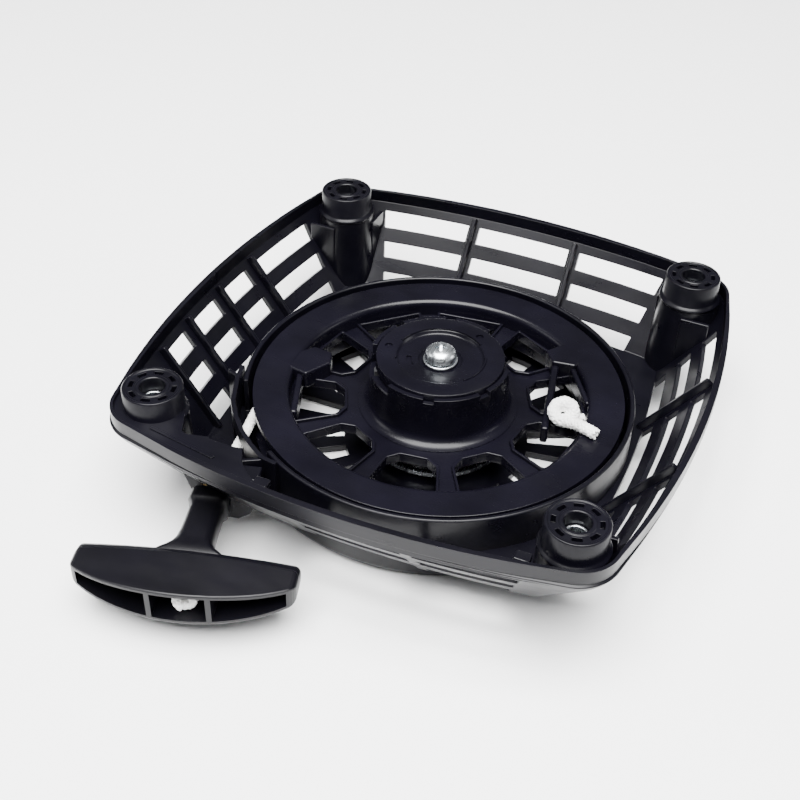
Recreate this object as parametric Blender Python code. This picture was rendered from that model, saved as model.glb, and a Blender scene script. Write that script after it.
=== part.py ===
"""Recoil starter for a small vertical-shaft engine, engine side up.

Metres, +Z up.  The origin is the centre of the flat outer face, on the reel's axis, so the
four mounting bosses point up and the pull handle hangs out over the front (-Y) side.
"""
import math

import bmesh
import bpy
from mathutils import Matrix, Vector

MM = 0.001
GAP = 0.35 * MM                      # clearance left between neighbouring pieces

# Housing levels, above the outer face
BOSS_TOP = 58.0 * MM
RIM_TOP = 51.0 * MM
RIM_FOOT = 43.0 * MM                 # underside of the rim's upright band
SHELF_TOP = 49.5 * MM
LEDGE_TOP = 14.3 * MM                # flat ledge between the sloped wall and the cup
LEDGE_UNDER = 12.0 * MM
CUP_TOP = 30.0 * MM
FLOOR = 3.0 * MM

# Housing plan
BOSS_PITCH = 160.0 * MM              # bolt square
RIM_HALF = 106.0 * MM                # half width at the middle of a side
RIM_WALL = 2.6 * MM
RIM_CORNER = 16.0 * MM
WALL_TOP_HALF = 102.3 * MM           # inner face of the sloped wall, just under the rim
WALL_SLOPE = 0.73                    # inward travel per unit of drop
WALL_STEP = (2.0 * MM, 1.5 * MM)     # outward and downward step to the wall's outer face
SIDE_TURN = math.radians(14.0)       # how far the bowed sides have turned where corners start
CUP_OUTER = 78.5 * MM
CUP_INNER = 76.5 * MM
POST_R = 7.0 * MM
POST_TOP = 37.6 * MM

# Bolt bosses
BOSS_R = 11.15 * MM
BOLT_HOLE_R = 4.65 * MM
BOLT_SEAT = 40.0 * MM                # where a bolt's head bears, up inside the boss
BOLT_SEAT_R = 8.6 * MM
POCKET_RING_R = 8.0 * MM

# Reel
REEL_R = 74.6 * MM
RING_INNER = 60.0 * MM
GROOVE_R = 62.5 * MM
RING_TOP = 28.6 * MM
GROOVE_TOP = 25.8 * MM
GROOVE_FOOT = 14.5 * MM
WEB = (18.5 * MM, 21.5 * MM)
WINDOW_BAND = (37.5 * MM, 57.0 * MM) # the web's windows lie between these radii
DRUM_R = 28.0 * MM
DRUM_TOP = 38.7 * MM
PAWL_FLOOR = 34.9 * MM
SCREW_SEAT = 42.9 * MM               # underside of the centre screw's head
HUB_R = 9.8 * MM
CHAMBER_R = 25.6 * MM                # the spring's chamber, under the drum
CHAMBER_TOP = 22.0 * MM
REEL_FOOT = 8.0 * MM
WINDOWS = 10
SPOKE_ANGLE = math.radians(-63.7)    # one spoke's centre line

# Rope
ROPE_R = 2.05 * MM
ROPE_Z = 19.5 * MM
COIL_R1 = 64.95 * MM
COIL_R2 = 69.25 * MM
KNOT = Vector((52.5 * MM, 8.5 * MM, 28.5 * MM))

# Rope guide and handle: the pull direction leans a little to the right of straight out
PULL_YAW = math.radians(17.0)
GUIDE = Vector((-55.1 * MM, -83.4 * MM, ROPE_Z))
GRIP_HALF = 39.5 * MM
STEM_START = 4.0 * MM                # along the pull direction from the guide's centre
GRIP_BACK = 35.0 * MM
GRIP_FRONT = 58.5 * MM
GRIP_BOW = 9.5 * MM

PULL = Vector((math.sin(PULL_YAW), -math.cos(PULL_YAW), 0))
ACROSS = Vector((math.cos(PULL_YAW), math.sin(PULL_YAW), 0))
UP = Vector((0, 0, 1))

for old in list(bpy.data.objects):
    bpy.data.objects.remove(old, do_unlink=True)


# ---------------------------------------------------------------- materials

def material(name, colour, roughness, metallic=0.0):
    mat = bpy.data.materials.new(name)
    mat.use_nodes = True
    shader = mat.node_tree.nodes["Principled BSDF"]
    shader.inputs["Base Color"].default_value = (*colour, 1.0)
    shader.inputs["Roughness"].default_value = roughness
    shader.inputs["Metallic"].default_value = metallic
    return mat


BLACK = material("black_nylon", (0.018, 0.018, 0.022), 0.42)
REEL_BLACK = material("black_acetal", (0.022, 0.021, 0.026), 0.36)
GRIP_BLACK = material("black_grip_plastic", (0.02, 0.02, 0.024), 0.48)
ROPE_WHITE = material("white_braided_rope", (0.82, 0.82, 0.8), 0.85)
ZINC = material("zinc_plated_steel", (0.72, 0.74, 0.76), 0.28, 1.0)
SPRING_STEEL = material("spring_steel", (0.3, 0.31, 0.34), 0.35, 1.0)
PAWL_STEEL = material("hardened_steel", (0.22, 0.22, 0.23), 0.45, 1.0)
BRASS = material("brass", (0.72, 0.5, 0.22), 0.35, 1.0)


# ---------------------------------------------------------------- building blocks

def make_object(name, bm, mat, smooth=35.0):
    """Turn a bmesh into a finished object with outward faces."""
    bmesh.ops.recalc_face_normals(bm, faces=bm.faces)
    mesh = bpy.data.meshes.new(name)
    bm.to_mesh(mesh)
    bm.free()
    mesh.materials.append(mat)
    mesh.shade_smooth()
    mesh.set_sharp_from_angle(angle=math.radians(smooth))
    obj = bpy.data.objects.new(name, mesh)
    bpy.context.scene.collection.objects.link(obj)
    return obj


def loops_solid(loops, closed_section=False, windows=()):
    """Skin closed loops of equal length; windows pierce two facing bands.

    Each window is (band_a, band_b, cells): cell k lies between points k and k + 1 of a loop.
    """
    bm = bmesh.new()
    count = len(loops[0])
    rows = [[bm.verts.new(p) for p in loop] for loop in loops]
    bands = len(rows) if closed_section else len(rows) - 1
    open_cells = {}
    for band_a, band_b, cells in windows:
        for band in (band_a, band_b):
            open_cells.setdefault(band, set()).update(cells)
    for band in range(bands):
        low, high = rows[band], rows[(band + 1) % len(rows)]
        for k in range(count):
            if k in open_cells.get(band, ()):
                continue
            n = (k + 1) % count
            bm.faces.new((low[k], low[n], high[n], high[k]))
    for band_a, band_b, cells in windows:
        a0, a1 = rows[band_a], rows[band_a + 1]
        b0, b1 = rows[band_b], rows[band_b + 1]
        for k in cells:
            n = (k + 1) % count
            bm.faces.new((a0[k], a0[n], b1[n], b1[k]))
            bm.faces.new((a1[k], a1[n], b0[n], b0[k]))
            if (k - 1) % count not in cells:
                bm.faces.new((a0[k], a1[k], b0[k], b1[k]))
            if n not in cells:
                bm.faces.new((a0[n], a1[n], b0[n], b1[n]))
    if not closed_section:
        bm.faces.new(rows[0])
        bm.faces.new(rows[-1])
    return bm


def circle(radius, z, angles, centre=(0, 0)):
    return [Vector((centre[0] + radius * math.cos(a), centre[1] + radius * math.sin(a), z))
            for a in angles]


def even_angles(count, start=0.0):
    return [start + 2 * math.pi * k / count for k in range(count)]


def turned(profile, count=32, centre=(0, 0), closed=False, start=0.0):
    """A turned solid from (radius, z) pairs; closed for a ring with a bore."""
    angles = even_angles(count, start)
    return loops_solid([circle(r, z, angles, centre) for r, z in profile], closed)


def prism(outline, to_world, depth_a, depth_b):
    """Extrude a flat outline of (u, v) pairs between two depths of a local frame."""
    bm = bmesh.new()
    ends = [[bm.verts.new(to_world(u, v, d)) for u, v in outline] for d in (depth_a, depth_b)]
    count = len(outline)
    for k in range(count):
        n = (k + 1) % count
        bm.faces.new((ends[0][k], ends[0][n], ends[1][n], ends[1][k]))
    bm.faces.new(ends[0])
    bm.faces.new(ends[1])
    return bm


def upright(u, v, depth):
    """Outline in plan, depth is height."""
    return Vector((u, v, depth))


def pull_frame(u, v, depth):
    """Outline across the pull direction: u sideways, v height, depth along the pull."""
    base = GUIDE + ACROSS * u + PULL * depth
    return Vector((base.x, base.y, v))


def tube(points, radius, sides=8):
    """A round tube along a smooth run of points, with flat ends."""
    loops = []
    normal = Vector((0, 0, 1))
    for k, point in enumerate(points):
        ahead = points[min(k + 1, len(points) - 1)] - points[max(k - 1, 0)]
        tangent = ahead.normalized()
        normal = (normal - tangent * normal.dot(tangent)).normalized()
        side = tangent.cross(normal)
        loops.append([point + (normal * math.cos(a) + side * math.sin(a)) * radius
                      for a in even_angles(sides)])
    return loops_solid(loops)


def smooth_route(corners, spacing):
    """Points every `spacing` along a Catmull-Rom curve through the given corners."""
    padded = [corners[0] * 2 - corners[1]] + list(corners) + [corners[-1] * 2 - corners[-2]]
    points = []
    for k in range(1, len(padded) - 2):
        p0, p1, p2, p3 = padded[k - 1:k + 3]
        steps = max(1, round((p2 - p1).length / spacing))
        for s in range(steps):
            t = s / steps
            points.append(0.5 * ((2 * p1) + (p2 - p0) * t
                                 + (2 * p0 - 5 * p1 + 4 * p2 - p3) * t * t
                                 + (3 * p1 - p0 - 3 * p2 + p3) * t ** 3))
    points.append(corners[-1])
    return points


def cutter(name, bm):
    obj = make_object(name, bm, BLACK)
    obj.hide_render = True
    obj.display_type = 'WIRE'
    return obj


def boolean(obj, tool, operation):
    mod = obj.modifiers.new(operation.lower(), 'BOOLEAN')
    mod.operation = operation
    mod.solver = 'EXACT'
    mod.object = tool


def apply_modifiers(obj):
    """Bake the modifiers and drop the tools they used."""
    tools = {mod.object for mod in obj.modifiers if mod.type == 'BOOLEAN'}
    graph = bpy.context.evaluated_depsgraph_get()
    graph.update()
    mesh = bpy.data.meshes.new_from_object(obj.evaluated_get(graph))
    obj.modifiers.clear()
    obj.data = mesh
    for tool in tools:
        bpy.data.objects.remove(tool, do_unlink=True)
    mesh.shade_smooth()
    mesh.set_sharp_from_angle(angle=math.radians(35))


def join_and_cut(obj, additions, cuts):
    for k, bm in enumerate(additions):
        boolean(obj, cutter(f"{obj.name}_add_{k}", bm), 'UNION')
    apply_modifiers(obj)
    for k, bm in enumerate(cuts):
        boolean(obj, cutter(f"{obj.name}_cut_{k}", bm), 'DIFFERENCE')
    apply_modifiers(obj)


def box(low, high):
    bm = bmesh.new()
    bmesh.ops.create_cube(bm, size=1.0)
    low, high = Vector(low), Vector(high)
    for vert in bm.verts:
        vert.co = Vector([(low[i] + high[i]) / 2 + vert.co[i] * (high[i] - low[i])
                          for i in range(3)])
    return bm


# ---------------------------------------------------------------- housing

# Cell edges along each side, counter-clockwise, at the height of the upper slots.  The sides
# are right, back, left and front; u runs counter-clockwise, so it is +Y on the right side.
SIDE_CELLS = {
    "right": [-66, -29, -24, 25, 30, 68],
    "back": [-66, -26, -21, 22, 27, 68],
    "left": [-69, -31, -22, -5, 3, 20, 28, 42, 50, 68],
    "front": [-60, -30, -14, 26, 30, 68],
}
# Which cells between those edges are slotted (the front keeps solid wall at the rope guide)
SIDE_SLOTS = {
    "right": [0, 2, 4],
    "back": [0, 2, 4],
    "left": [0, 2, 4, 6],
    "front": [2, 4],
}
SIDE_RIBS = {
    "right": [-26.5, 27.5],
    "back": [-23.5, 24.5],
    "left": [-26.5, -1.0, 24.0, 46.0],
    "front": [28.0],
}
SIDES = ("right", "back", "left", "front")
SLOT_ROWS = [(42.5, 36.3), (31.0, 25.2), (19.6, LEDGE_TOP / MM)]
CORNER_STEPS = 6
MAX_STATION = 17.5                   # longest straight step along a bowed side, in mm


def wall_half(z):
    """Half width of the sloped wall's inner face at height z."""
    return WALL_TOP_HALF - WALL_SLOPE * (44.5 * MM - z)


def side_stations(side):
    """Places along a side as (u, lean, slotted): long cells are divided to follow the bow.

    Lean is 1 at the side's ends, where the outermost slots lean in with the bosses' webs.
    """
    edges = SIDE_CELLS[side]
    last = len(edges) - 2
    stations = []
    for k, (low, high) in enumerate(zip(edges, edges[1:])):
        parts = math.ceil((high - low) / MAX_STATION)
        for part in range(parts):
            along = part / parts
            lean = (1 - along if k == 0 else 0) + (along if k == last else 0)
            stations.append((low + (high - low) * along, lean, k in SIDE_SLOTS[side]))
    stations.append((edges[-1], 1, False))
    return stations


def section_loop(half, z, squeeze):
    """The bowed square with round corners; squeeze runs 0 at the rim to 1 at the ledge."""
    centre = BOSS_PITCH / 2 - 17.0 * MM * squeeze
    corner = RIM_CORNER - 3.0 * MM * squeeze + (half - RIM_HALF + 24.0 * MM * squeeze) * 0.5
    end_u = centre + corner * math.sin(SIDE_TURN)
    end_w = centre + corner * math.cos(SIDE_TURN)
    points = []
    for index, side in enumerate(SIDES):
        turn = Matrix.Rotation(index * math.pi / 2, 3, 'Z')
        for u, lean, _ in side_stations(side):
            at = u * MM * (1 - 0.13 * squeeze * lean)
            bow = (half - end_w) * (at / end_u) ** 2
            points.append(turn @ Vector((half - bow, at, z)))
        for step in range(CORNER_STEPS + 1):
            a = SIDE_TURN + (math.pi / 2 - 2 * SIDE_TURN) * step / CORNER_STEPS
            points.append(turn @ Vector((centre + corner * math.cos(a),
                                         centre + corner * math.sin(a), z)))
    return points


def slot_cell_indices():
    cells = []
    start = 0
    for side in SIDES:
        stations = side_stations(side)
        cells += [start + k for k, (_, _, slotted) in enumerate(stations) if slotted]
        start += len(stations) + CORNER_STEPS + 1
    return cells


def housing_wall():
    """Rim, slotted sloped walls and the ledge that meets the cup."""
    heights = [44.5] + [z for row in SLOT_ROWS for z in row]
    inner = []
    outer = []
    top = heights[0] * MM
    for height in heights:
        z = height * MM
        squeeze = (top - z) / (top - LEDGE_TOP)
        inner.append(section_loop(wall_half(z), z, squeeze))
        outer_z = min(RIM_FOOT, z) - WALL_STEP[1] if height != heights[0] else RIM_FOOT
        if height == heights[-1]:
            outer_z = LEDGE_UNDER
        outer.append(section_loop(wall_half(z) + WALL_STEP[0], outer_z, squeeze))
    join_r = (CUP_OUTER + CUP_INNER) / 2
    ledge_in = [Vector((*(p.to_2d().normalized() * join_r), LEDGE_TOP)) for p in inner[-1]]
    ledge_out = [Vector((p.x, p.y, LEDGE_UNDER)) for p in ledge_in]
    loops = [section_loop(RIM_HALF - RIM_WALL, RIM_TOP, 0)] + inner + [ledge_in, ledge_out]
    loops += outer[::-1]
    loops += [section_loop(RIM_HALF, RIM_FOOT, 0), section_loop(RIM_HALF, RIM_TOP, 0)]
    last_inner = len(inner)
    first_outer = last_inner + 3
    cells = slot_cell_indices()
    windows = []
    for row in range(len(SLOT_ROWS)):
        band_in = 2 + 2 * row
        band_out = first_outer + (last_inner - 1 - band_in)
        windows.append((band_in, band_out, cells))
    return loops_solid(loops, True, windows)


FLOOR_SLOTS = 20


def cup_floor_post():
    """Cup wall, slotted floor and the centre post, as one turned piece."""
    pitch = 2 * math.pi / FLOOR_SLOTS
    angles = []
    for k in range(FLOOR_SLOTS):
        angles += [k * pitch, k * pitch + pitch * 0.5, k * pitch + pitch * 0.75]
    cells = [3 * k for k in range(FLOOR_SLOTS)]
    profile = [(32.0 * MM, 0.0), (38.0 * MM, 0.0), (66.0 * MM, 0.0), (75.5 * MM, 0.0),
               (CUP_OUTER, 3.5 * MM), (CUP_OUTER, CUP_TOP), (CUP_INNER, CUP_TOP),
               (CUP_INNER, FLOOR), (66.0 * MM, FLOOR), (38.0 * MM, FLOOR),
               (9.5 * MM, FLOOR), (8.5 * MM, 5.0 * MM), (POST_R, 6.0 * MM),
               (POST_R, POST_TOP), (2.7 * MM, POST_TOP), (2.7 * MM, 16.0 * MM)]
    loops = [circle(r, z, angles) for r, z in profile]
    return loops_solid(loops, False, [(1, 8, cells)])


def boss(centre):
    """A tapered tower with a bead below its upright top."""
    profile = [(13.8 * MM, LEDGE_UNDER + 0.5 * MM), (12.2 * MM, 47.0 * MM),
               (12.5 * MM, 47.9 * MM), (BOSS_R, 48.5 * MM), (BOSS_R, BOSS_TOP)]
    return turned(profile, 28, centre)


def outer_hull():
    """Everything inside the housing's outer faces, for trimming what stands in the corners."""
    loops = []
    for height in (44.5, 30.0, LEDGE_TOP / MM):
        z = height * MM
        squeeze = (44.5 * MM - z) / (44.5 * MM - LEDGE_TOP)
        foot = {44.5: RIM_FOOT, LEDGE_TOP / MM: LEDGE_UNDER}.get(height, z - WALL_STEP[1])
        loops.insert(0, section_loop(wall_half(z) + WALL_STEP[0] - 0.05 * MM, foot, squeeze))
    inset = 0.05 * MM
    loops += [section_loop(RIM_HALF - inset, RIM_FOOT + inset, 0),
              section_loop(RIM_HALF - inset, BOSS_TOP + 5 * MM, 0)]
    return loops_solid(loops)


def side_frame(index):
    turn = Matrix.Rotation(index * math.pi / 2, 3, 'Z')

    def to_world(w, z, u):
        return turn @ Vector((w, u, z))
    return to_world


def wall_rib(index, u, proud, half_thick=0.9 * MM):
    """An upright fin on the inside of a sloped wall."""
    high, low = 45.5 * MM, LEDGE_TOP - 1.0 * MM
    bow = 10.0 * MM * (u / 83.5) ** 2
    root = 0.9 * MM
    outline = [(wall_half(high) - bow + root, high), (wall_half(low) - bow + root, low),
               (wall_half(low) - bow - proud, low), (wall_half(high) - bow - proud, high)]
    return prism(outline, side_frame(index), u * MM - half_thick, u * MM + half_thick)


def corner_web(centre, toward_side):
    """A flat web from a boss down to the ledge, along one of its two walls."""
    sx, sy = math.copysign(1, centre[0]), math.copysign(1, centre[1])
    inner_x = centre[0] - sx * 11.4 * MM
    inner_y = centre[1] - sy * 11.4 * MM
    if toward_side == "x":
        low = (min(inner_x, inner_x - sx * 1.8 * MM), min(centre[1], sy * 92.0 * MM), 15.0 * MM)
        high = (max(inner_x, inner_x - sx * 1.8 * MM), max(centre[1], sy * 92.0 * MM), 44.0 * MM)
    else:
        low = (min(centre[0], sx * 92.0 * MM), min(inner_y, inner_y - sy * 1.8 * MM), 15.0 * MM)
        high = (max(centre[0], sx * 92.0 * MM), max(inner_y, inner_y - sy * 1.8 * MM), 44.0 * MM)
    return box(low, high)


def shelf():
    """The flat shelf by the front-left boss, over the rope guide."""
    outline = [(-98.0, -74.0), (-82.0, -70.0), (-67.0, -79.0), (-63.0, -88.0), (-37.0, -88.0),
               (-37.0, -92.0), (-28.0, -101.5), (-50.0, -100.0), (-72.0, -96.0), (-88.0, -91.5),
               (-94.0, -84.0)]
    return prism([(x * MM, y * MM) for x, y in outline], upright, SHELF_TOP - 3 * MM, SHELF_TOP)


def guide_lug():
    """The lug that holds the rope guide, where the front wall meets the ledge."""
    outline = [(-11.5, 27.5), (-8.6, 19.0), (-6.0, 11.0), (-1.0, 7.2), (8.5, 6.6), (13.0, 9.6),
               (15.8, 16.0), (17.0, 24.0), (17.0, 27.5)]
    return prism([(u * MM, v * MM) for u, v in outline], pull_frame, -7.0 * MM, 1.0 * MM)


def along_pull(profile, count=20):
    """A turned solid about the rope's line at the guide, from (radius, distance) pairs."""
    loops = []
    for radius, depth in profile:
        base = GUIDE + PULL * depth
        loops.append([base + (ACROSS * math.cos(a) + UP * math.sin(a)) * radius
                      for a in even_angles(count)])
    return loops


def boss_pockets(centre):
    pockets = []
    for k in range(8):
        a = math.radians(22.5 + 45 * k)
        radial = Vector((math.cos(a), math.sin(a), 0))
        across = Vector((-math.sin(a), math.cos(a), 0))

        def to_world(u, v, depth, radial=radial, across=across):
            return Vector((*centre, 0)) + radial * u + across * v + UP * depth
        near, far, half = POCKET_RING_R - 0.75 * MM, POCKET_RING_R + 0.75 * MM, 1.75 * MM
        outline = [(near, -half + 0.5 * MM), (near + 0.4 * MM, -half), (far - 0.4 * MM, -half),
                   (far, -half + 0.5 * MM), (far, half - 0.5 * MM), (far - 0.4 * MM, half),
                   (near + 0.4 * MM, half), (near, half - 0.5 * MM)]
        pockets.append(prism(outline, to_world, BOSS_TOP - 3.0 * MM, BOSS_TOP + 1.0 * MM))
    return pockets


BOSS_CENTRES = [(sx * BOSS_PITCH / 2, sy * BOSS_PITCH / 2)
                for sx, sy in ((-1, -1), (1, -1), (1, 1), (-1, 1))]
BOSS_NAMES = ["front_left", "front_right", "back_right", "back_left"]


def rope_window():
    """The opening in the cup wall that the rope passes through."""
    lead = (GUIDE - lead_start()).normalized()
    side = lead.cross(UP)

    def to_world(u, v, depth):
        return lead_start() + lead * depth + side * u + UP * v
    half = 3.8 * MM
    outline = [(-half, -half), (half, -half), (half, half), (-half, half)]
    return prism(outline, to_world, 24.0 * MM, 62.0 * MM)


def lead_start():
    """Where the rope leaves the outer layer of the coil, tangent towards the guide."""
    reach = math.hypot(GUIDE.x, GUIDE.y)
    angle = math.atan2(GUIDE.y, GUIDE.x) - math.acos(COIL_R2 / reach)
    return Vector((COIL_R2 * math.cos(angle), COIL_R2 * math.sin(angle), ROPE_Z))


def corner_tower(centre, webs):
    """One boss with its webs, trimmed to the inside of the walls."""
    tower = make_object("tower", boss(centre), BLACK)
    for k, axis in enumerate(webs):
        boolean(tower, cutter(f"web_{k}", corner_web(centre, axis)), 'UNION')
    boolean(tower, cutter("hull", outer_hull()), 'INTERSECT')
    apply_modifiers(tower)
    tower.hide_render = True
    tower.display_type = 'WIRE'
    return tower


def make_housing():
    housing = make_object("housing", housing_wall(), BLACK)
    for centre, webs in zip(BOSS_CENTRES, ("", "y", "xy", "xy")):
        boolean(housing, corner_tower(centre, webs), 'UNION')
    additions = [cup_floor_post(), shelf(), guide_lug()]
    for index, side in enumerate(SIDES):
        additions += [wall_rib(index, u, 3.0 * MM) for u in SIDE_RIBS[side]]
    bolt = [(BOLT_SEAT_R, 0.0), (BOLT_SEAT_R, BOLT_SEAT), (BOLT_HOLE_R, BOLT_SEAT),
            (BOLT_HOLE_R, 70 * MM)]
    cuts = [turned(bolt, 24, centre) for centre in BOSS_CENTRES]
    for centre in BOSS_CENTRES:
        cuts += boss_pockets(centre)
    bore = [(7.0 * MM, -20 * MM), (7.0 * MM, -7.0 * MM), (5.2 * MM, -7.0 * MM), (5.2 * MM, 4 * MM)]
    cuts.append(loops_solid(along_pull(bore)))
    cuts.append(rope_window())
    relief = [(-8.8 * MM, 10.0 * MM), (8.8 * MM, 10.0 * MM), (8.8 * MM, 29.0 * MM),
              (-8.8 * MM, 29.0 * MM)]
    cuts.append(prism(relief, pull_frame, 1.0 * MM, 30.0 * MM))
    join_and_cut(housing, additions, cuts)


def make_sleeves():
    """Steel compression sleeves set a little below the top of each boss."""
    outer, inner = BOLT_HOLE_R - GAP, 3.4 * MM
    for name, centre in zip(BOSS_NAMES, BOSS_CENTRES):
        low, high = BOLT_SEAT + GAP, BOSS_TOP - 5.5 * MM
        profile = [(inner, low), (outer, low), (outer, high), (inner, high)]
        make_object(f"bolt_sleeve_{name}", turned(profile, 20, centre, True), ZINC)


def make_rope_guide():
    """The eyelet that the rope runs through."""
    profile = [(2.75 * MM, -7.0 * MM), (3.9 * MM, -8.2 * MM), (6.4 * MM, -8.2 * MM),
               (6.4 * MM, -7.4 * MM), (4.85 * MM, -7.4 * MM), (4.85 * MM, 1.6 * MM),
               (3.9 * MM, 2.2 * MM), (2.75 * MM, 1.2 * MM)]
    make_object("rope_guide", loops_solid(along_pull(profile), True), BRASS)


# ---------------------------------------------------------------- reel

def make_reel():
    pitch = 2 * math.pi / WINDOWS
    spoke_half = math.radians(4.5)
    angles = []
    for k in range(WINDOWS):
        first = SPOKE_ANGLE + k * pitch + spoke_half
        span = pitch - 2 * spoke_half
        angles += [first + span * step / 4 for step in range(5)]
    cells = [5 * k + step for k in range(WINDOWS) for step in range(4)]
    bore = POST_R + 0.5 * MM
    low_flange = 12.0 * MM
    window_in, window_out = WINDOW_BAND
    profile = [(bore, REEL_FOOT), (HUB_R, REEL_FOOT), (HUB_R, CHAMBER_TOP),
               (CHAMBER_R, CHAMBER_TOP), (CHAMBER_R, REEL_FOOT), (DRUM_R, REEL_FOOT),
               (DRUM_R, WEB[0]), (window_in, WEB[0]), (window_out, WEB[0]),
               (RING_INNER, WEB[0]), (RING_INNER, low_flange), (REEL_R, low_flange),
               (REEL_R, GROOVE_FOOT), (GROOVE_R, GROOVE_FOOT), (GROOVE_R, GROOVE_TOP),
               (REEL_R, GROOVE_TOP), (REEL_R, RING_TOP), (RING_INNER + 1.6 * MM, RING_TOP),
               (RING_INNER, RING_TOP - 1.6 * MM), (RING_INNER, WEB[1]), (window_out, WEB[1]),
               (window_in, WEB[1]), (DRUM_R + 2.5 * MM, WEB[1]), (DRUM_R, WEB[1] + 2.5 * MM),
               (DRUM_R, DRUM_TOP), (13.0 * MM, DRUM_TOP), (13.0 * MM, PAWL_FLOOR),
               (bore, PAWL_FLOOR)]
    low_band, high_band = 7, 20
    rings = [circle(r, z, angles) for r, z in profile]
    bands = [(low_band, high_band, cells)]
    reel = make_object("reel", loops_solid(rings, True, bands), REEL_BLACK)
    additions = []
    for outline, height in ANCHOR_RIDGES:
        additions.append(prism([(x * MM, y * MM) for x, y in outline], upright,
                               WEB[0] + 0.5 * MM, height * MM))
    cuts = [pawl_pocket(turn) for turn in (0.0, math.pi)]
    route = [coil_point(turn) for turn in (-0.6, 0.3, 0.4, 0.5)]
    cuts.append(tube(route, ROPE_R + 0.5 * MM, 12))
    join_and_cut(reel, additions, cuts)


# Ridges moulded on the web by the rope's anchor, and the matching tab on the other side
ANCHOR_RIDGES = [
    ([(31.5, 42.5), (36.6, 36.5), (45.8, 38.0), (47.4, 42.0), (41.0, 45.6)], 27.6),
    ([(35.6, 38.5), (38.4, 38.5), (48.0, -3.6), (45.2, -4.4)], 26.0),
    ([(42.4, 41.0), (44.8, 39.2), (58.6, 19.0), (56.4, 17.6)], 26.0),
    ([(-60.6, -13.0), (-60.8, -3.0), (-57.1, 2.4), (-48.8, 2.0), (-46.4, -4.7), (-52.4, -14.6)],
     27.6),
    ([(-57.6, -12.0), (-54.8, -11.2), (-45.2, -36.6), (-47.6, -37.8)], 26.0),
]

PAWL_PIVOT_R = 19.5 * MM
PAWL_THICK = (PAWL_FLOOR + GAP, DRUM_TOP - GAP)
PAWL_SWING = math.radians(28.0)


def pawl_frame(turn):
    """Local frame of one pawl: u along the rim, v outwards, from its pivot."""
    radial = Vector((math.cos(turn), math.sin(turn), 0))
    along = Vector((-math.sin(turn), math.cos(turn), 0))

    def to_world(u, v, depth):
        return radial * (PAWL_PIVOT_R + v) + along * u + UP * depth
    return to_world


def arc(centre, radius, start, end, steps):
    return [(centre[0] + radius * math.cos(math.radians(start + (end - start) * k / steps)),
             centre[1] + radius * math.sin(math.radians(start + (end - start) * k / steps)))
            for k in range(steps + 1)]


def pawl_outline(grow=0.0):
    """A round heel on the pivot and a straight finger that lies along the drum's rim."""
    heel = arc((0.0, 0.0), 3.6 * MM + grow, 60, 300, 8)
    finger = [(13.0 * MM + grow, -1.6 * MM - grow), (14.2 * MM + grow, 2.6 * MM + grow),
              (12.4 * MM, 3.6 * MM + grow)]
    return heel + finger


def pawl_pocket(turn):
    """Room for a pawl's finger to lie in and to swing out of the drum."""
    heel = arc((0.0, 0.0), 4.5 * MM, 90, 270, 8)
    swept = [(16.0 * MM, -4.5 * MM), (19.0 * MM, 14.0 * MM), (-1.0 * MM, 14.0 * MM)]
    return prism(heel + swept, pawl_frame(turn), PAWL_FLOOR, DRUM_TOP + 2 * MM)


def make_pawls():
    for index, turn in enumerate((0.0, math.pi)):
        frame = pawl_frame(turn)
        name = f"pawl_{index + 1}"
        pawl = make_object(name, prism(pawl_outline(), frame, *PAWL_THICK), PAWL_STEEL)
        pin = turned([(1.65 * MM, 25.0 * MM), (1.65 * MM, 40.0 * MM)], 14,
                     frame(0, 0, 0).to_2d())
        join_and_cut(pawl, [], [pin])
        pin_r = 1.3 * MM
        profile = [(pin_r, PAWL_FLOOR + 0.3 * MM), (pin_r, DRUM_TOP - 0.1 * MM)]
        make_object(f"pawl_pin_{index + 1}", turned(profile, 12, frame(0, 0, 0).to_2d()), ZINC)


def make_pawl_plate():
    """The dished disc that covers the pawls and turns a little against the drum."""
    under = DRUM_TOP + GAP
    profile = [(3.3, 0.0), (25.0, 0.0), (25.6, 0.6), (25.6, 4.2), (25.0, 5.0), (17.5, 5.0),
               (16.3, 3.4), (8.6, 3.0), (7.9, 2.15), (3.3, 2.15)]
    profile = [(r * MM, under + z * MM) for r, z in profile]
    make_object("pawl_plate", turned(profile, 40, (0, 0), True), REEL_BLACK)


def make_brake_spring():
    """Two turns of wire between the reel's hub and the pawl plate."""
    turns, steps, wire = 2.0, 20, 0.55 * MM
    low, high = PAWL_FLOOR + 0.95 * MM, DRUM_TOP - 0.65 * MM
    count = int(turns * steps)
    points = []
    for k in range(count + 1):
        a = 2 * math.pi * k / steps
        points.append(Vector((10.6 * MM * math.cos(a), 10.6 * MM * math.sin(a),
                              low + (high - low) * k / count)))
    make_object("brake_spring", tube(points, wire, 6), SPRING_STEEL)


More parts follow.
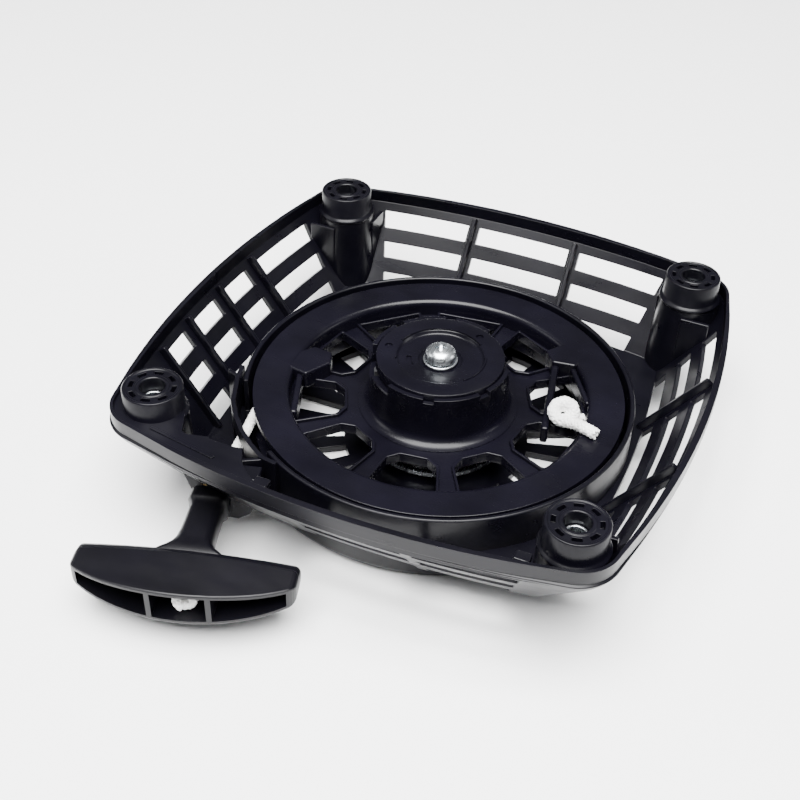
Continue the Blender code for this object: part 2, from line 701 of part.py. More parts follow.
def make_centre_screw():
    """Pan-head cross-recess screw that holds the reel and the pawl plate on the post."""
    shank = 2.35 * MM
    seat = SCREW_SEAT
    profile = [(shank - 0.4 * MM, 18.0 * MM), (shank, 19.0 * MM), (shank, seat),
               (6.2 * MM, seat), (6.2 * MM, seat + 2.1 * MM), (5.6 * MM, seat + 3.7 * MM),
               (4.2 * MM, seat + 4.7 * MM), (2.2 * MM, seat + 5.1 * MM)]
    screw = make_object("centre_screw", turned(profile, 24), ZINC)
    arm, slot = 2.9 * MM, 0.6 * MM
    deep, clear = seat + 2.7 * MM, seat + 6.0 * MM
    cross = box((-arm, -slot, deep), (arm, slot, clear))
    other = box((-slot, -arm, deep), (slot, arm, clear))
    join_and_cut(screw, [], [cross, other])
    low, high = seat - GAP - 1.0 * MM, seat - GAP
    washer = [(2.75 * MM, low), (6.9 * MM, low), (6.9 * MM, high), (2.75 * MM, high)]
    make_object("screw_washer", turned(washer, 24, (0, 0), True), ZINC)


def make_recoil_spring():
    """Flat spiral strip under the hub, from the post out to the hub's wall."""
    turns, steps, thick = 6, 22, 0.5 * MM
    inner, outer = 11.0 * MM, 24.4 * MM
    low, high = 9.0 * MM, 20.5 * MM
    count = turns * steps
    loops = []
    for k in range(count + 1):
        a = 2 * math.pi * k / steps
        r = inner + (outer - inner) * k / count
        radial = Vector((math.cos(a), math.sin(a), 0))
        loops.append([radial * r + UP * low, radial * (r + thick) + UP * low,
                      radial * (r + thick) + UP * high, radial * r + UP * high])
    make_object("recoil_spring", loops_solid(loops), SPRING_STEEL)


def make_spring_cover():
    """Thin disc that closes the spring's chamber under the reel."""
    profile = [(9.9 * MM, 5.8 * MM), (29.5 * MM, 5.8 * MM), (29.5 * MM, 7.6 * MM),
               (9.9 * MM, 7.6 * MM)]
    make_object("spring_cover", turned(profile, 36, (0, 0), True), ZINC)


# ---------------------------------------------------------------- rope

KNOT_ENTRY = math.radians(25.0)      # where the rope comes through the groove's wall


def ease(t):
    t = min(1.0, max(0.0, t))
    return t * t * (3 - 2 * t)


def coil_point(turn):
    """A point on the wound rope; turn is radians wound on from the groove's wall."""
    if turn < 0.35:
        wall = Vector((COIL_R1 * math.cos(KNOT_ENTRY + 0.35),
                       COIL_R1 * math.sin(KNOT_ENTRY + 0.35), 23.2 * MM))
        return wall.lerp(KNOT, (0.35 - turn) / 0.95)
    step_down = ease((turn - 5.6) / 0.8)
    step_out = ease((turn - 11.9) / 0.8)
    radius = COIL_R1 + (COIL_R2 - COIL_R1) * step_out
    z = 23.2 * MM - 6.1 * MM * step_down + (ROPE_Z - 17.1 * MM) * step_out
    angle = KNOT_ENTRY + turn
    return Vector((radius * math.cos(angle), radius * math.sin(angle), z))


def make_rope():
    """The rope from its knot in the reel, round the reel, through the guide to the handle."""
    start = lead_start()
    end_angle = math.atan2(start.y, start.x) % (2 * math.pi)
    last = end_angle - KNOT_ENTRY + 4 * math.pi - 0.012
    steps = 66
    wound = [coil_point(0.35 + (last - 0.35) * k / steps) for k in range(steps + 1)]
    wound = [coil_point(-0.46), coil_point(0.0)] + wound
    make_object("rope_on_reel", tube(wound, ROPE_R, 8), ROPE_WHITE)
    run = smooth_route([start, start.lerp(GUIDE, 0.5), GUIDE - PULL * 4 * MM, GUIDE,
                        GUIDE + PULL * 2.6 * MM], 8 * MM)
    make_object("rope_lead", tube(run, ROPE_R, 8), ROPE_WHITE)
    stub = [GUIDE + PULL * d * MM for d in (2.95, 3.6)]
    make_object("rope_pull", tube(stub, ROPE_R, 8), ROPE_WHITE)
    inside = [GUIDE + PULL * d * MM for d in (3.95, 12, 22, 32, 41.5)]
    make_object("rope_in_handle", tube(inside, ROPE_R, 8), ROPE_WHITE)
    make_knot("reel_knot", KNOT, Vector((0.86, -0.45, 0.25)).normalized(), 4.9 * MM, 9.0 * MM)
    at = GUIDE + PULL * 46.4 * MM
    make_knot("handle_knot", at, (ACROSS * 0.8 + PULL * 0.6).normalized(), 4.3 * MM, 3.0 * MM)


def make_knot(name, centre, tail_way, radius, tail):
    """A tight overhand knot with its cut tail."""
    bm = bmesh.new()
    bmesh.ops.create_icosphere(bm, subdivisions=3, radius=1.0)
    for vert in bm.verts:
        d = vert.co.normalized()
        lump = 1.0 + 0.09 * math.sin(3 * math.atan2(d.y, d.x)) * (1 - d.z * d.z)
        vert.co = Vector((d.x * radius * lump, d.y * radius * lump, d.z * radius * 0.82))
        vert.co += centre
    knot = make_object(name, bm, ROPE_WHITE)
    stub = [centre + tail_way * radius * 0.5, centre + tail_way * (radius + tail)]
    join_and_cut(knot, [tube(stub, ROPE_R * 0.95, 8)], [])


# ---------------------------------------------------------------- handle

def grip_section(across, inset=0.0, back=GRIP_BACK, front_extra=0.0):
    """Points of the grip's section (along the pull, height) at a place across the grip."""
    t = across / GRIP_HALF
    front = GRIP_FRONT - GRIP_BOW * t * t - abs(t) ** 6 * 2.0 * MM
    high = (7.2 - 3.0 * t * t - abs(t) ** 8 * 0.6) * MM - inset
    if front_extra:
        points = [(back, -high), (back, high), (front + front_extra, high),
                  (front + front_extra, -high)]
    else:
        tail = back + abs(t) ** 6 * 2.5 * MM
        points = [(tail, -0.35 * high), (tail, 0.35 * high), (tail + 1.6 * MM, 0.78 * high),
                  (tail + 4.4 * MM, high), (front, high), (front, -high),
                  (tail + 4.4 * MM, -high), (tail + 1.6 * MM, -0.78 * high)]
    return points


def grip_loft(places, **options):
    loops = []
    for across in places:
        loops.append([pull_frame(across, ROPE_Z + v, s)
                      for s, v in grip_section(across, **options)])
    return loops_solid(loops)


def spread(low, high, steps):
    return [low + (high - low) * k / steps for k in range(steps + 1)]


def handle_stem():
    """The stem, flaring into the grip."""
    rows = [(STEM_START, 7.0, 6.3), (STEM_START + 1.2 * MM, 7.4, 6.7),
            (STEM_START + 6.0 * MM, 7.2, 6.5), (STEM_START + 8.0 * MM, 6.2, 5.7),
            (26.0 * MM, 6.3, 5.8), (31.0 * MM, 7.6, 6.2), (34.5 * MM, 10.6, 6.6),
            (37.0 * MM, 15.5, 6.4), (41.5 * MM, 15.5, 5.6)]
    loops = []
    for depth, half_wide, half_high in rows:
        cut = 0.42
        a, b = half_wide * MM, half_high * MM
        ring = [(a, -b * cut), (a, b * cut), (a * (1 - cut * 0.6), b), (-a * (1 - cut * 0.6), b),
                (-a, b * cut), (-a, -b * cut), (-a * (1 - cut * 0.6), -b),
                (a * (1 - cut * 0.6), -b)]
        loops.append([pull_frame(u, ROPE_Z + v, depth) for u, v in ring])
    return loops_solid(loops)


def make_handle():
    handle = make_object("handle", grip_loft(spread(-GRIP_HALF, GRIP_HALF, 14)), GRIP_BLACK)
    rooms = [(-37.4, -12.2), (-10.4, 10.4), (12.2, 37.4)]
    cuts = [grip_loft(spread(low * MM, high * MM, 4), inset=1.8 * MM, back=41.5 * MM,
                      front_extra=3 * MM) for low, high in rooms]
    bore = [(2.5 * MM, 0.0), (2.5 * MM, 45 * MM)]
    cuts.append(loops_solid(along_pull(bore, 16)))
    join_and_cut(handle, [handle_stem()], cuts)


def main():
    make_housing()
    make_sleeves()
    make_rope_guide()
    make_reel()
    make_pawls()
    make_pawl_plate()
    make_brake_spring()
    make_centre_screw()
    make_recoil_spring()
    make_spring_cover()
    make_rope()
    make_handle()


main()
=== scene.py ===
import bmesh
import bpy
import math
from mathutils import Matrix, Vector


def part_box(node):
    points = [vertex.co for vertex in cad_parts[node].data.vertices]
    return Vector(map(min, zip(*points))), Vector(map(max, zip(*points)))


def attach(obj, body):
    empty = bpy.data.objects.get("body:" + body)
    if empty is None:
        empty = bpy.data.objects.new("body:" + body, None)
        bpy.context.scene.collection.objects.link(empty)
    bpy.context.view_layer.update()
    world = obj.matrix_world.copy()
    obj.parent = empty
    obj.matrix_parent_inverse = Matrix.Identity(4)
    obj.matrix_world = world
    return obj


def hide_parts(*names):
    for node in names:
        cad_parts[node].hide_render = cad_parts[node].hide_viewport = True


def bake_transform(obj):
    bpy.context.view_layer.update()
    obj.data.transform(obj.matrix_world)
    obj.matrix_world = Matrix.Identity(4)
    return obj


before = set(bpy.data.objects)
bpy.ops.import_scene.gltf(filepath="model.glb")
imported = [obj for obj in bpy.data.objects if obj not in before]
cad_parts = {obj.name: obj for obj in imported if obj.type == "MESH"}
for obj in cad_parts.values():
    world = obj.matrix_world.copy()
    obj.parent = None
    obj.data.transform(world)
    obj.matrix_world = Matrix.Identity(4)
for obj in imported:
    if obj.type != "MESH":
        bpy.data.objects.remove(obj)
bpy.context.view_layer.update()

MM = 0.001
UP = Vector((0, 0, 1))

# Levels above the outer face, in mm
BOSS_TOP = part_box("housing")[1].z / MM
RIM_TOP = 51.0
RIM_STEP = 45.6
RIM_FOOT = 43.0
SHELF_TOP = 49.5
LEDGE_TOP = 14.3
CUP_TOP = 30.0
FLOOR_TOP = 3.0

# Housing plan, in mm
RIM_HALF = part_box("housing")[1].x / MM
RIM_WALL = 2.6
RIM_CORNER = 16.0
WALL_TOP_HALF = 102.3
WALL_TOP = 44.5
WALL_SLOPE = 0.73
WALL_THICK = 2.45
SIDE_TURN = math.radians(14.0)
CUP_OUTER = 78.5
CUP_INNER = 76.5
POST_R = 7.0
POST_TOP = 37.6
BOSS_PITCH = 160.0
BOSS_R = 11.15
BOLT_HOLE_R = 4.65
BOLT_SEAT = 40.0
BOLT_SEAT_R = 8.6

# Reel, in mm
REEL_R = 74.6
RING_INNER = 60.0
GROOVE_R = 62.5
RING_TOP = 28.6
WEB_TOP = 21.5
WEB_THICK = 3.0
DRUM_R = 28.0
DRUM_TOP = 38.7
PAWL_FLOOR = 34.9
PAWL_PIVOT_R = 19.5
COLLAR_INNER = 26.1
SCREW_SEAT = 42.9
WINDOWS = 10
SPOKE_ANGLE = math.radians(-63.7)

# Rope, guide and handle
ROPE_R = 2.05
YARNS = 6
INNER_COIL_R = 64.95
OUTER_COIL_R = 69.25
ROPE_Z = 19.5
PULL_YAW = math.radians(17.0)
PULL = Vector((math.sin(PULL_YAW), -math.cos(PULL_YAW), 0))
ACROSS = Vector((math.cos(PULL_YAW), math.sin(PULL_YAW), 0))
GUIDE = Vector((-55.1, -83.4, ROPE_Z))
KNOT = Vector((52.5, 8.5, 28.5))
GRIP_HALF = 39.5
GRIP_BACK = 35.0
GRIP_FRONT = 58.5
GRIP_ROUND = 2.1
GRIP_BOW = 9.5


# ---------------------------------------------------------------- finishes

def new_finish(name, colour, roughness, metallic=0.0):
    """A material with its shader's own values set, and the nodes to build on."""
    finish = bpy.data.materials.new(name)
    finish.use_nodes = True
    nodes = finish.node_tree.nodes
    shader = nodes["Principled BSDF"]
    shader.inputs["Base Color"].default_value = (*colour, 1)
    shader.inputs["Roughness"].default_value = roughness
    shader.inputs["Metallic"].default_value = metallic
    return finish, nodes, finish.node_tree.links, shader


def noise(nodes, links, place, scale, detail=3.0, stretch=(1, 1, 1)):
    """Noise in the piece's own place, drawn out along an axis by the stretch."""
    mapping = nodes.new("ShaderNodeMapping")
    mapping.inputs["Scale"].default_value = stretch
    links.new(place.outputs["Object"], mapping.inputs["Vector"])
    pattern = nodes.new("ShaderNodeTexNoise")
    pattern.inputs["Scale"].default_value = scale
    pattern.inputs["Detail"].default_value = detail
    links.new(mapping.outputs["Vector"], pattern.inputs["Vector"])
    return pattern.outputs["Fac"]


def spread(nodes, links, value, low, high, start=0.3, stop=0.7):
    """Carry a pattern's middle range over to the given range."""
    step = nodes.new("ShaderNodeMapRange")
    step.inputs["From Min"].default_value = start
    step.inputs["From Max"].default_value = stop
    step.inputs["To Min"].default_value = low
    step.inputs["To Max"].default_value = high
    links.new(value, step.inputs["Value"])
    return step.outputs["Result"]


def two_tone(nodes, links, factor, dark, light):
    mix = nodes.new("ShaderNodeMix")
    mix.data_type = 'RGBA'
    mix.inputs["A"].default_value = (*dark, 1)
    mix.inputs["B"].default_value = (*light, 1)
    links.new(factor, mix.inputs["Factor"])
    return mix.outputs["Result"]


def raise_surface(nodes, links, height, strength, depth, below=None):
    bump = nodes.new("ShaderNodeBump")
    bump.inputs["Strength"].default_value = strength
    bump.inputs["Distance"].default_value = depth
    links.new(height, bump.inputs["Height"])
    if below is not None:
        links.new(below, bump.inputs["Normal"])
    return bump.outputs["Normal"]


def moulded_plastic(name, dark, light, gloss_low, gloss_high, grain):
    """Black glass-filled plastic: spark-eroded grain, faint flow lines and a cloudy sheen."""
    finish, nodes, links, shader = new_finish(name, dark, gloss_low)
    place = nodes.new("ShaderNodeTexCoord")
    cloud = noise(nodes, links, place, 34.0, 4.0)
    flow = noise(nodes, links, place, 120.0, 5.0, (0.35, 1.0, 1.0))
    pits = noise(nodes, links, place, 2600.0, 2.0)
    swell = noise(nodes, links, place, 210.0, 2.0)
    tone = spread(nodes, links, cloud, 0.0, 1.0)
    links.new(two_tone(nodes, links, tone, dark, light), shader.inputs["Base Color"])
    links.new(spread(nodes, links, flow, gloss_low, gloss_high), shader.inputs["Roughness"])
    soft = raise_surface(nodes, links, swell, 0.25, 0.06 * MM)
    fine = raise_surface(nodes, links, pits, grain, 0.03 * MM, soft)
    links.new(fine, shader.inputs["Normal"])
    shader.inputs["Specular IOR Level"].default_value = 0.22
    return finish


def plated_steel(name, dark, light, gloss):
    """Bright plating: a cloudy tone with fine scratches under it."""
    finish, nodes, links, shader = new_finish(name, light, gloss, 1.0)
    place = nodes.new("ShaderNodeTexCoord")
    cloud = noise(nodes, links, place, 260.0, 3.0)
    lines = noise(nodes, links, place, 900.0, 3.0, (1.0, 0.12, 0.3))
    tone = spread(nodes, links, cloud, 0.0, 1.0)
    links.new(two_tone(nodes, links, tone, dark, light), shader.inputs["Base Color"])
    links.new(spread(nodes, links, lines, gloss - 0.06, gloss + 0.12),
              shader.inputs["Roughness"])
    links.new(raise_surface(nodes, links, lines, 0.25, 0.02 * MM), shader.inputs["Normal"])
    return finish


def braided_yarn(name):
    """White polyester yarn with a soft sheen and fine fibres."""
    finish, nodes, links, shader = new_finish(name, (0.8, 0.79, 0.77), 0.75)
    place = nodes.new("ShaderNodeTexCoord")
    fibre = noise(nodes, links, place, 1500.0, 4.0, (1.0, 0.4, 1.0))
    soil = noise(nodes, links, place, 130.0, 3.0)
    tone = spread(nodes, links, soil, 0.0, 1.0, 0.35, 0.65)
    links.new(two_tone(nodes, links, tone, (0.66, 0.65, 0.63), (0.86, 0.855, 0.84)),
              shader.inputs["Base Color"])
    links.new(spread(nodes, links, fibre, 0.62, 0.88), shader.inputs["Roughness"])
    links.new(raise_surface(nodes, links, fibre, 0.7, 0.12 * MM), shader.inputs["Normal"])
    shader.inputs["Sheen Weight"].default_value = 0.35
    shader.inputs["Sheen Roughness"].default_value = 0.5
    return finish


def straight_braid(name):
    """The same yarn on the drawn-out rope: crossing waves along and around the pull line, with
    painted shade darkening the grooves between them.
    """
    finish, nodes, links, shader = new_finish(name, (0.8, 0.79, 0.77), 0.78)
    place = nodes.new("ShaderNodeTexCoord")
    lined = nodes.new("ShaderNodeMapping")
    lined.vector_type = 'TEXTURE'
    lined.inputs["Location"].default_value = GUIDE * MM
    lined.inputs["Rotation"].default_value = (0, 0, PULL_YAW)
    links.new(place.outputs["Object"], lined.inputs["Vector"])
    split = nodes.new("ShaderNodeSeparateXYZ")
    links.new(lined.outputs["Vector"], split.inputs["Vector"])

    def combine(operation, first, second):
        step = nodes.new("ShaderNodeMath")
        step.operation = operation
        for socket, value in zip(step.inputs, (first, second)):
            if isinstance(value, (int, float)):
                socket.default_value = value
            else:
                links.new(value, socket)
        return step.outputs["Value"]

    around = combine('MULTIPLY', combine('ARCTAN2', split.outputs["Z"], split.outputs["X"]), YARNS)
    along = combine('MULTIPLY', split.outputs["Y"], 2 * math.pi * YARNS / (10 * MM))
    right = combine('SINE', combine('ADD', along, around), 0.0)
    left = combine('SINE', combine('SUBTRACT', along, around), 0.0)
    weave_and_groove_shade = combine('MULTIPLY', right, left)
    # Painted shade: the colour goes darker where the waves sink, in the grooves between the yarns;
    # the same waves also set the roughness and the bump.
    links.new(two_tone(nodes, links, spread(nodes, links, weave_and_groove_shade, 0.0, 1.0, -0.8, 0.8),
                       (0.62, 0.61, 0.59), (0.86, 0.855, 0.84)), shader.inputs["Base Color"])
    links.new(spread(nodes, links, weave_and_groove_shade, 0.85, 0.68, -1.0, 1.0), shader.inputs["Roughness"])
    links.new(raise_surface(nodes, links, weave_and_groove_shade, 0.8, 0.25 * MM), shader.inputs["Normal"])
    return finish


HOUSING_BLACK = moulded_plastic("housing_black", (0.0012, 0.0011, 0.0022), (0.0026, 0.0023, 0.0046),
                                0.26, 0.36, 0.3)
REEL_BLACK = moulded_plastic("reel_black", (0.0014, 0.0012, 0.0026), (0.0032, 0.0028, 0.0058),
                             0.22, 0.31, 0.22)
GRIP_BLACK = moulded_plastic("grip_black", (0.0014, 0.0013, 0.0022), (0.003, 0.0027, 0.0046),
                             0.3, 0.4, 0.4)
ZINC = plated_steel("zinc_plate", (0.56, 0.6, 0.63), (0.78, 0.81, 0.83), 0.24)
SPRING_BLUE = plated_steel("blued_spring_steel", (0.16, 0.18, 0.23), (0.3, 0.31, 0.36), 0.34)
PAWL_GREY = plated_steel("hardened_pawl_steel", (0.13, 0.13, 0.14), (0.25, 0.25, 0.26), 0.42)
GUIDE_BRASS = plated_steel("guide_brass", (0.5, 0.34, 0.13), (0.72, 0.52, 0.24), 0.3)
YARN = braided_yarn("white_yarn")
DRAWN_YARN = straight_braid("white_yarn_drawn")


# ---------------------------------------------------------------- modelling by rings

def clear_selection():
    if bpy.context.mode != 'OBJECT':
        bpy.ops.object.mode_set(mode='OBJECT')
    bpy.ops.object.select_all(action='DESELECT')


def pick(obj):
    """Make a piece the only one selected, and the active one."""
    clear_selection()
    obj.select_set(True)
    bpy.context.view_layer.objects.active = obj


def smooth(obj, angle):
    """Shade a piece smooth wherever it turns by less than the angle, in degrees."""
    pick(obj)
    bpy.ops.object.shade_smooth_by_angle(angle=math.radians(angle))


def lay(obj, ring, points):
    """Put a ring's corners on their places, in mm."""
    bm = bmesh.from_edit_mesh(obj.data)
    bm.verts.ensure_lookup_table()
    for index, point in zip(ring, points):
        bm.verts[index].co = Vector(point) * MM
    bmesh.update_edit_mesh(obj.data)


def draw_ring(obj, ring, points):
    """Extrude the open ring and lay its copy on the next outline."""
    bpy.ops.mesh.extrude_edges_move()
    bm = bmesh.from_edit_mesh(obj.data)
    bm.verts.ensure_lookup_table()
    bm.verts.index_update()
    fresh = []
    for index in ring:
        corner = bm.verts[index]
        copies = [e.other_vert(corner) for e in corner.link_edges]
        fresh.append(next(v.index for v in copies if v.select))
    lay(obj, fresh, points)
    return fresh


def loft(name, outlines, closed=False, capped=True):
    """A piece drawn ring by ring from a circle.  It is left in edit mode, with its rings."""
    clear_selection()
    bpy.ops.mesh.primitive_circle_add(vertices=len(outlines[0]), radius=1.0)
    obj = bpy.context.object
    obj.name = name
    obj.data.name = name
    bpy.ops.object.mode_set(mode='EDIT')
    bpy.ops.mesh.select_mode(type='EDGE')
    bpy.ops.mesh.select_all(action='SELECT')
    rings = [list(range(len(outlines[0])))]
    lay(obj, rings[0], outlines[0])
    for outline in outlines[1:]:
        rings.append(draw_ring(obj, rings[-1], outline))
    if closed:
        draw_ring(obj, rings[-1], outlines[0])
    elif capped:
        bpy.ops.mesh.edge_face_add()
        select_edges(obj, rings[0])
        bpy.ops.mesh.edge_face_add()
    return obj, rings


def select_edges(obj, ring):
    """Select the edges along one ring."""
    bpy.ops.mesh.select_all(action='DESELECT')
    bm = bmesh.from_edit_mesh(obj.data)
    chosen = set(ring)
    for edge in bm.edges:
        edge.select = all(v.index in chosen for v in edge.verts)
    bm.select_flush_mode()
    bmesh.update_edit_mesh(obj.data)


def select_cells(obj, low_ring, high_ring, cells):
    """Select the faces between two rings, cell k lying between corners k and k + 1."""
    bpy.ops.mesh.select_all(action='DESELECT')
    bpy.ops.mesh.select_mode(type='FACE')
    bm = bmesh.from_edit_mesh(obj.data)
    count = len(low_ring)
    wanted = {frozenset((low_ring[k % count], low_ring[(k + 1) % count],
                         high_ring[k % count], high_ring[(k + 1) % count])) for k in cells}
    for face in bm.faces:
        face.select = frozenset(v.index for v in face.verts) in wanted
    bm.select_flush_mode()
    bmesh.update_edit_mesh(obj.data)


def close_up(obj):
    """Merge what meets, turn the faces outward and leave edit mode."""
    bpy.ops.mesh.select_mode(type='VERT')
    bpy.ops.mesh.select_all(action='SELECT')
    bpy.ops.mesh.remove_doubles(threshold=0.002 * MM)
    bpy.ops.mesh.delete_loose()
    bpy.ops.mesh.select_all(action='SELECT')
    bpy.ops.mesh.normals_make_consistent(inside=False)
    bpy.ops.object.mode_set(mode='OBJECT')
    return obj


def apply(obj, kind, **settings):
    """Add a modifier with these settings and apply it."""
    pick(obj)
    modifier = obj.modifiers.new(kind.lower(), kind)
    for key, value in settings.items():
        setattr(modifier, key, value)
    bpy.ops.object.modifier_apply(modifier=modifier.name)
    return obj


def cut(obj, tool, operation='DIFFERENCE', keep_tool=False):
    apply(obj, 'BOOLEAN', operation=operation, object=tool, solver='EXACT')
    if not keep_tool:
        bpy.data.objects.remove(tool, do_unlink=True)
    return obj


def soften(obj, width, segments=2, angle=32.0):
    """Round the moulded edges, by a width in mm."""
    smooth(obj, angle)
    return apply(obj, 'BEVEL', width=width * MM, segments=segments, limit_method='ANGLE',
                 angle_limit=math.radians(angle), harden_normals=True,
                 miter_outer='MITER_ARC')


def settle(obj, place=None, turn=None):
    """Place a finished piece and put its place into its mesh."""
    pick(obj)
    if place is not None:
        obj.location = Vector(place) * MM
    if turn is not None:
        obj.rotation_euler = turn
    bpy.ops.object.transform_apply(location=True, rotation=True, scale=True)
    return obj


def finish_piece(obj, body, finish, slot, *replaced):
    obj.data.materials.clear()
    obj.data.materials.append(finish)
    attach(obj, body)
    if replaced:
        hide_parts(*replaced)
    return obj


def housing_piece(obj, *replaced):
    return finish_piece(obj, "root", HOUSING_BLACK, "black_nylon", *replaced)


def reel_piece(obj, *replaced):
    return finish_piece(obj, "reel", REEL_BLACK, "black_acetal", *replaced)


def circle(radius, z, sides, centre=(0, 0), start=0.0):
    turns = [start + 2 * math.pi * k / sides for k in range(sides)]
    return [(centre[0] + radius * math.cos(a), centre[1] + radius * math.sin(a), z)
            for a in turns]


def turned(name, profile, sides, centre=(0, 0), closed=False):
    """A turned piece from (radius, height) pairs in mm, left in object mode."""
    outlines = [circle(r, z, sides, centre) for r, z in profile]
    return close_up(loft(name, outlines, closed)[0])


def prism(name, outline, low, high, to_place=None):
    """A flat outline extruded between two depths."""
    to_place = to_place or (lambda u, v, depth: (u, v, depth))
    outlines = [[to_place(u, v, depth) for u, v in outline] for depth in (low, high)]
    return close_up(loft(name, outlines)[0])


def block(name, size, place, turn=None):
    """A bar cut to size in edit mode, in mm."""
    clear_selection()
    bpy.ops.mesh.primitive_cube_add(size=1.0)
    obj = bpy.context.object
    obj.name = name
    obj.data.name = name
    bpy.ops.object.mode_set(mode='EDIT')
    bpy.ops.mesh.select_all(action='SELECT')
    bpy.ops.transform.resize(value=[side * MM for side in size])
    bpy.ops.object.mode_set(mode='OBJECT')
    return settle(obj, place, turn)


def arc(centre, radius, start, stop, steps):
    """Points on an arc between two angles in degrees."""
    return [(centre[0] + radius * math.cos(math.radians(start + (stop - start) * k / steps)),
             centre[1] + radius * math.sin(math.radians(start + (stop - start) * k / steps)))
            for k in range(steps + 1)]


def pull_frame(u, v, depth):
    """u across the pull line, v height, depth along it from the guide's centre."""
    base = GUIDE + ACROSS * u + PULL * depth
    return Vector((base.x, base.y, v))


# ---------------------------------------------------------------- housing walls

SIDES = ("right", "back", "left", "front")
SIDE_CELLS = {
    "right": [-66, -29, -24, 25, 30, 68],
    "back": [-66, -26, -21, 22, 27, 68],
    "left": [-69, -31, -22, -5, 3, 20, 28, 42, 50, 68],
    "front": [-60, -30, -14, 26, 30, 68],
}
SIDE_SLOTS = {"right": [0, 2, 4], "back": [0, 2, 4], "left": [0, 2, 4, 6], "front": [2, 4]}
SIDE_RIBS = {
    "right": [-26.5, 27.5],
    "back": [-23.5, 24.5],
    "left": [-26.5, -1.0, 24.0, 46.0],
    "front": [28.0],
}
SLOT_ROWS = [(42.5, 36.3), (31.0, 25.2), (19.6, LEDGE_TOP)]
CORNER_STEPS = 12
STATION = 6.0
BOSSES = {"front_left": (-80.0, -80.0), "front_right": (80.0, -80.0),
          "back_right": (80.0, 80.0), "back_left": (-80.0, 80.0)}


def wall_half(z):
    """Half width of the sloped wall's inner face at height z."""
    return WALL_TOP_HALF - WALL_SLOPE * (WALL_TOP - z)


def side_stations(side):
    """Places along a side as (u, lean, slotted), about a station apart."""
    edges = SIDE_CELLS[side]
    last = len(edges) - 2
    stations = []
    for k, (low, high) in enumerate(zip(edges, edges[1:])):
        parts = math.ceil((high - low) / STATION)
        for part in range(parts):
            along = part / parts
            lean = (1 - along if k == 0 else 0) + (along if k == last else 0)
            stations.append((low + (high - low) * along, lean, k in SIDE_SLOTS[side]))
    stations.append((edges[-1], 1, False))
    return stations


def bowed_square(half, z):
    """The housing's outline at one height: bowed sides and round corners."""
    squeeze = max(0.0, (WALL_TOP - z) / (WALL_TOP - LEDGE_TOP)) if z < WALL_TOP else 0.0
    centre = BOSS_PITCH / 2 - 17.0 * squeeze
    corner = RIM_CORNER - 3.0 * squeeze + (half - RIM_HALF + 24.0 * squeeze) * 0.5
    end_u = centre + corner * math.sin(SIDE_TURN)
    end_w = centre + corner * math.cos(SIDE_TURN)
    points = []
    for index, side in enumerate(SIDES):
        turn = Matrix.Rotation(index * math.pi / 2, 3, 'Z')
        for u, lean, _ in side_stations(side):
            at = u * (1 - 0.13 * squeeze * lean)
            bow = (half - end_w) * (at / end_u) ** 2
            points.append(turn @ Vector((half - bow, at, z)))
        for step in range(CORNER_STEPS + 1):
            a = SIDE_TURN + (math.pi / 2 - 2 * SIDE_TURN) * step / CORNER_STEPS
            points.append(turn @ Vector((centre + corner * math.cos(a),
                                         centre + corner * math.sin(a), z)))
    return points


def slotted_cells():
    cells = []
    start = 0
    for side in SIDES:
        stations = side_stations(side)
        cells += [start + k for k, (_, _, slotted) in enumerate(stations) if slotted]
        start += len(stations) + CORNER_STEPS + 1
    return cells


def inside_walls():
    """A solid of all that lies inside the walls, for trimming what stands in the corners."""
    heights = (LEDGE_TOP, 25.0, 35.0, WALL_TOP)
    outlines = []
    for z in heights:
        outline = bowed_square(wall_half(z) + 1.2, z)
        outlines.append([(p[0], p[1], z - 0.8) for p in outline])
    outlines += [bowed_square(RIM_HALF - 1.0, 45.0), bowed_square(RIM_HALF - 1.0, 60.0)]
    return close_up(loft("inside_walls", outlines)[0])


def build_walls():
    """The sloped walls as one sheet with its slots opened, then given its thickness."""
    heights = [46.0] + [z for row in SLOT_ROWS for z in row]
    outlines = [bowed_square(wall_half(z), z) for z in heights]
    join_r = CUP_INNER + 1.0
    foot = outlines[-1]
    outlines.append([(*(Vector(p).to_2d().normalized() * join_r), LEDGE_TOP) for p in foot])
    obj, rings = loft("housing_walls", outlines, capped=False)
    cells = slotted_cells()
    for row in range(len(SLOT_ROWS)):
        select_cells(obj, rings[1 + 2 * row], rings[2 + 2 * row], cells)
        bpy.ops.mesh.delete(type='ONLY_FACE')
    close_up(obj)
    apply(obj, 'SOLIDIFY', thickness=WALL_THICK * MM, offset=1.0, use_even_offset=True)
    soften(obj, 0.4, 2)
    return housing_piece(obj, "housing")


def build_rim():
    """The upright band round the walls, with a fine step near its foot."""
    inner = RIM_HALF - RIM_WALL
    section = [(inner, 43.4), (inner, RIM_TOP), (RIM_HALF - 0.05, RIM_TOP),
               (RIM_HALF - 0.05, RIM_STEP), (RIM_HALF - 0.5, RIM_STEP - 0.15),
               (RIM_HALF - 0.5, RIM_FOOT)]
    outlines = [bowed_square(half, max(z, WALL_TOP)) for half, z in section]
    outlines = [[(p[0], p[1], z) for p in outline] for outline, (_, z) in zip(outlines, section)]
    obj = close_up(loft("housing_rim", outlines, closed=True)[0])
    soften(obj, 0.3, 2, 25.0)
    return housing_piece(obj)


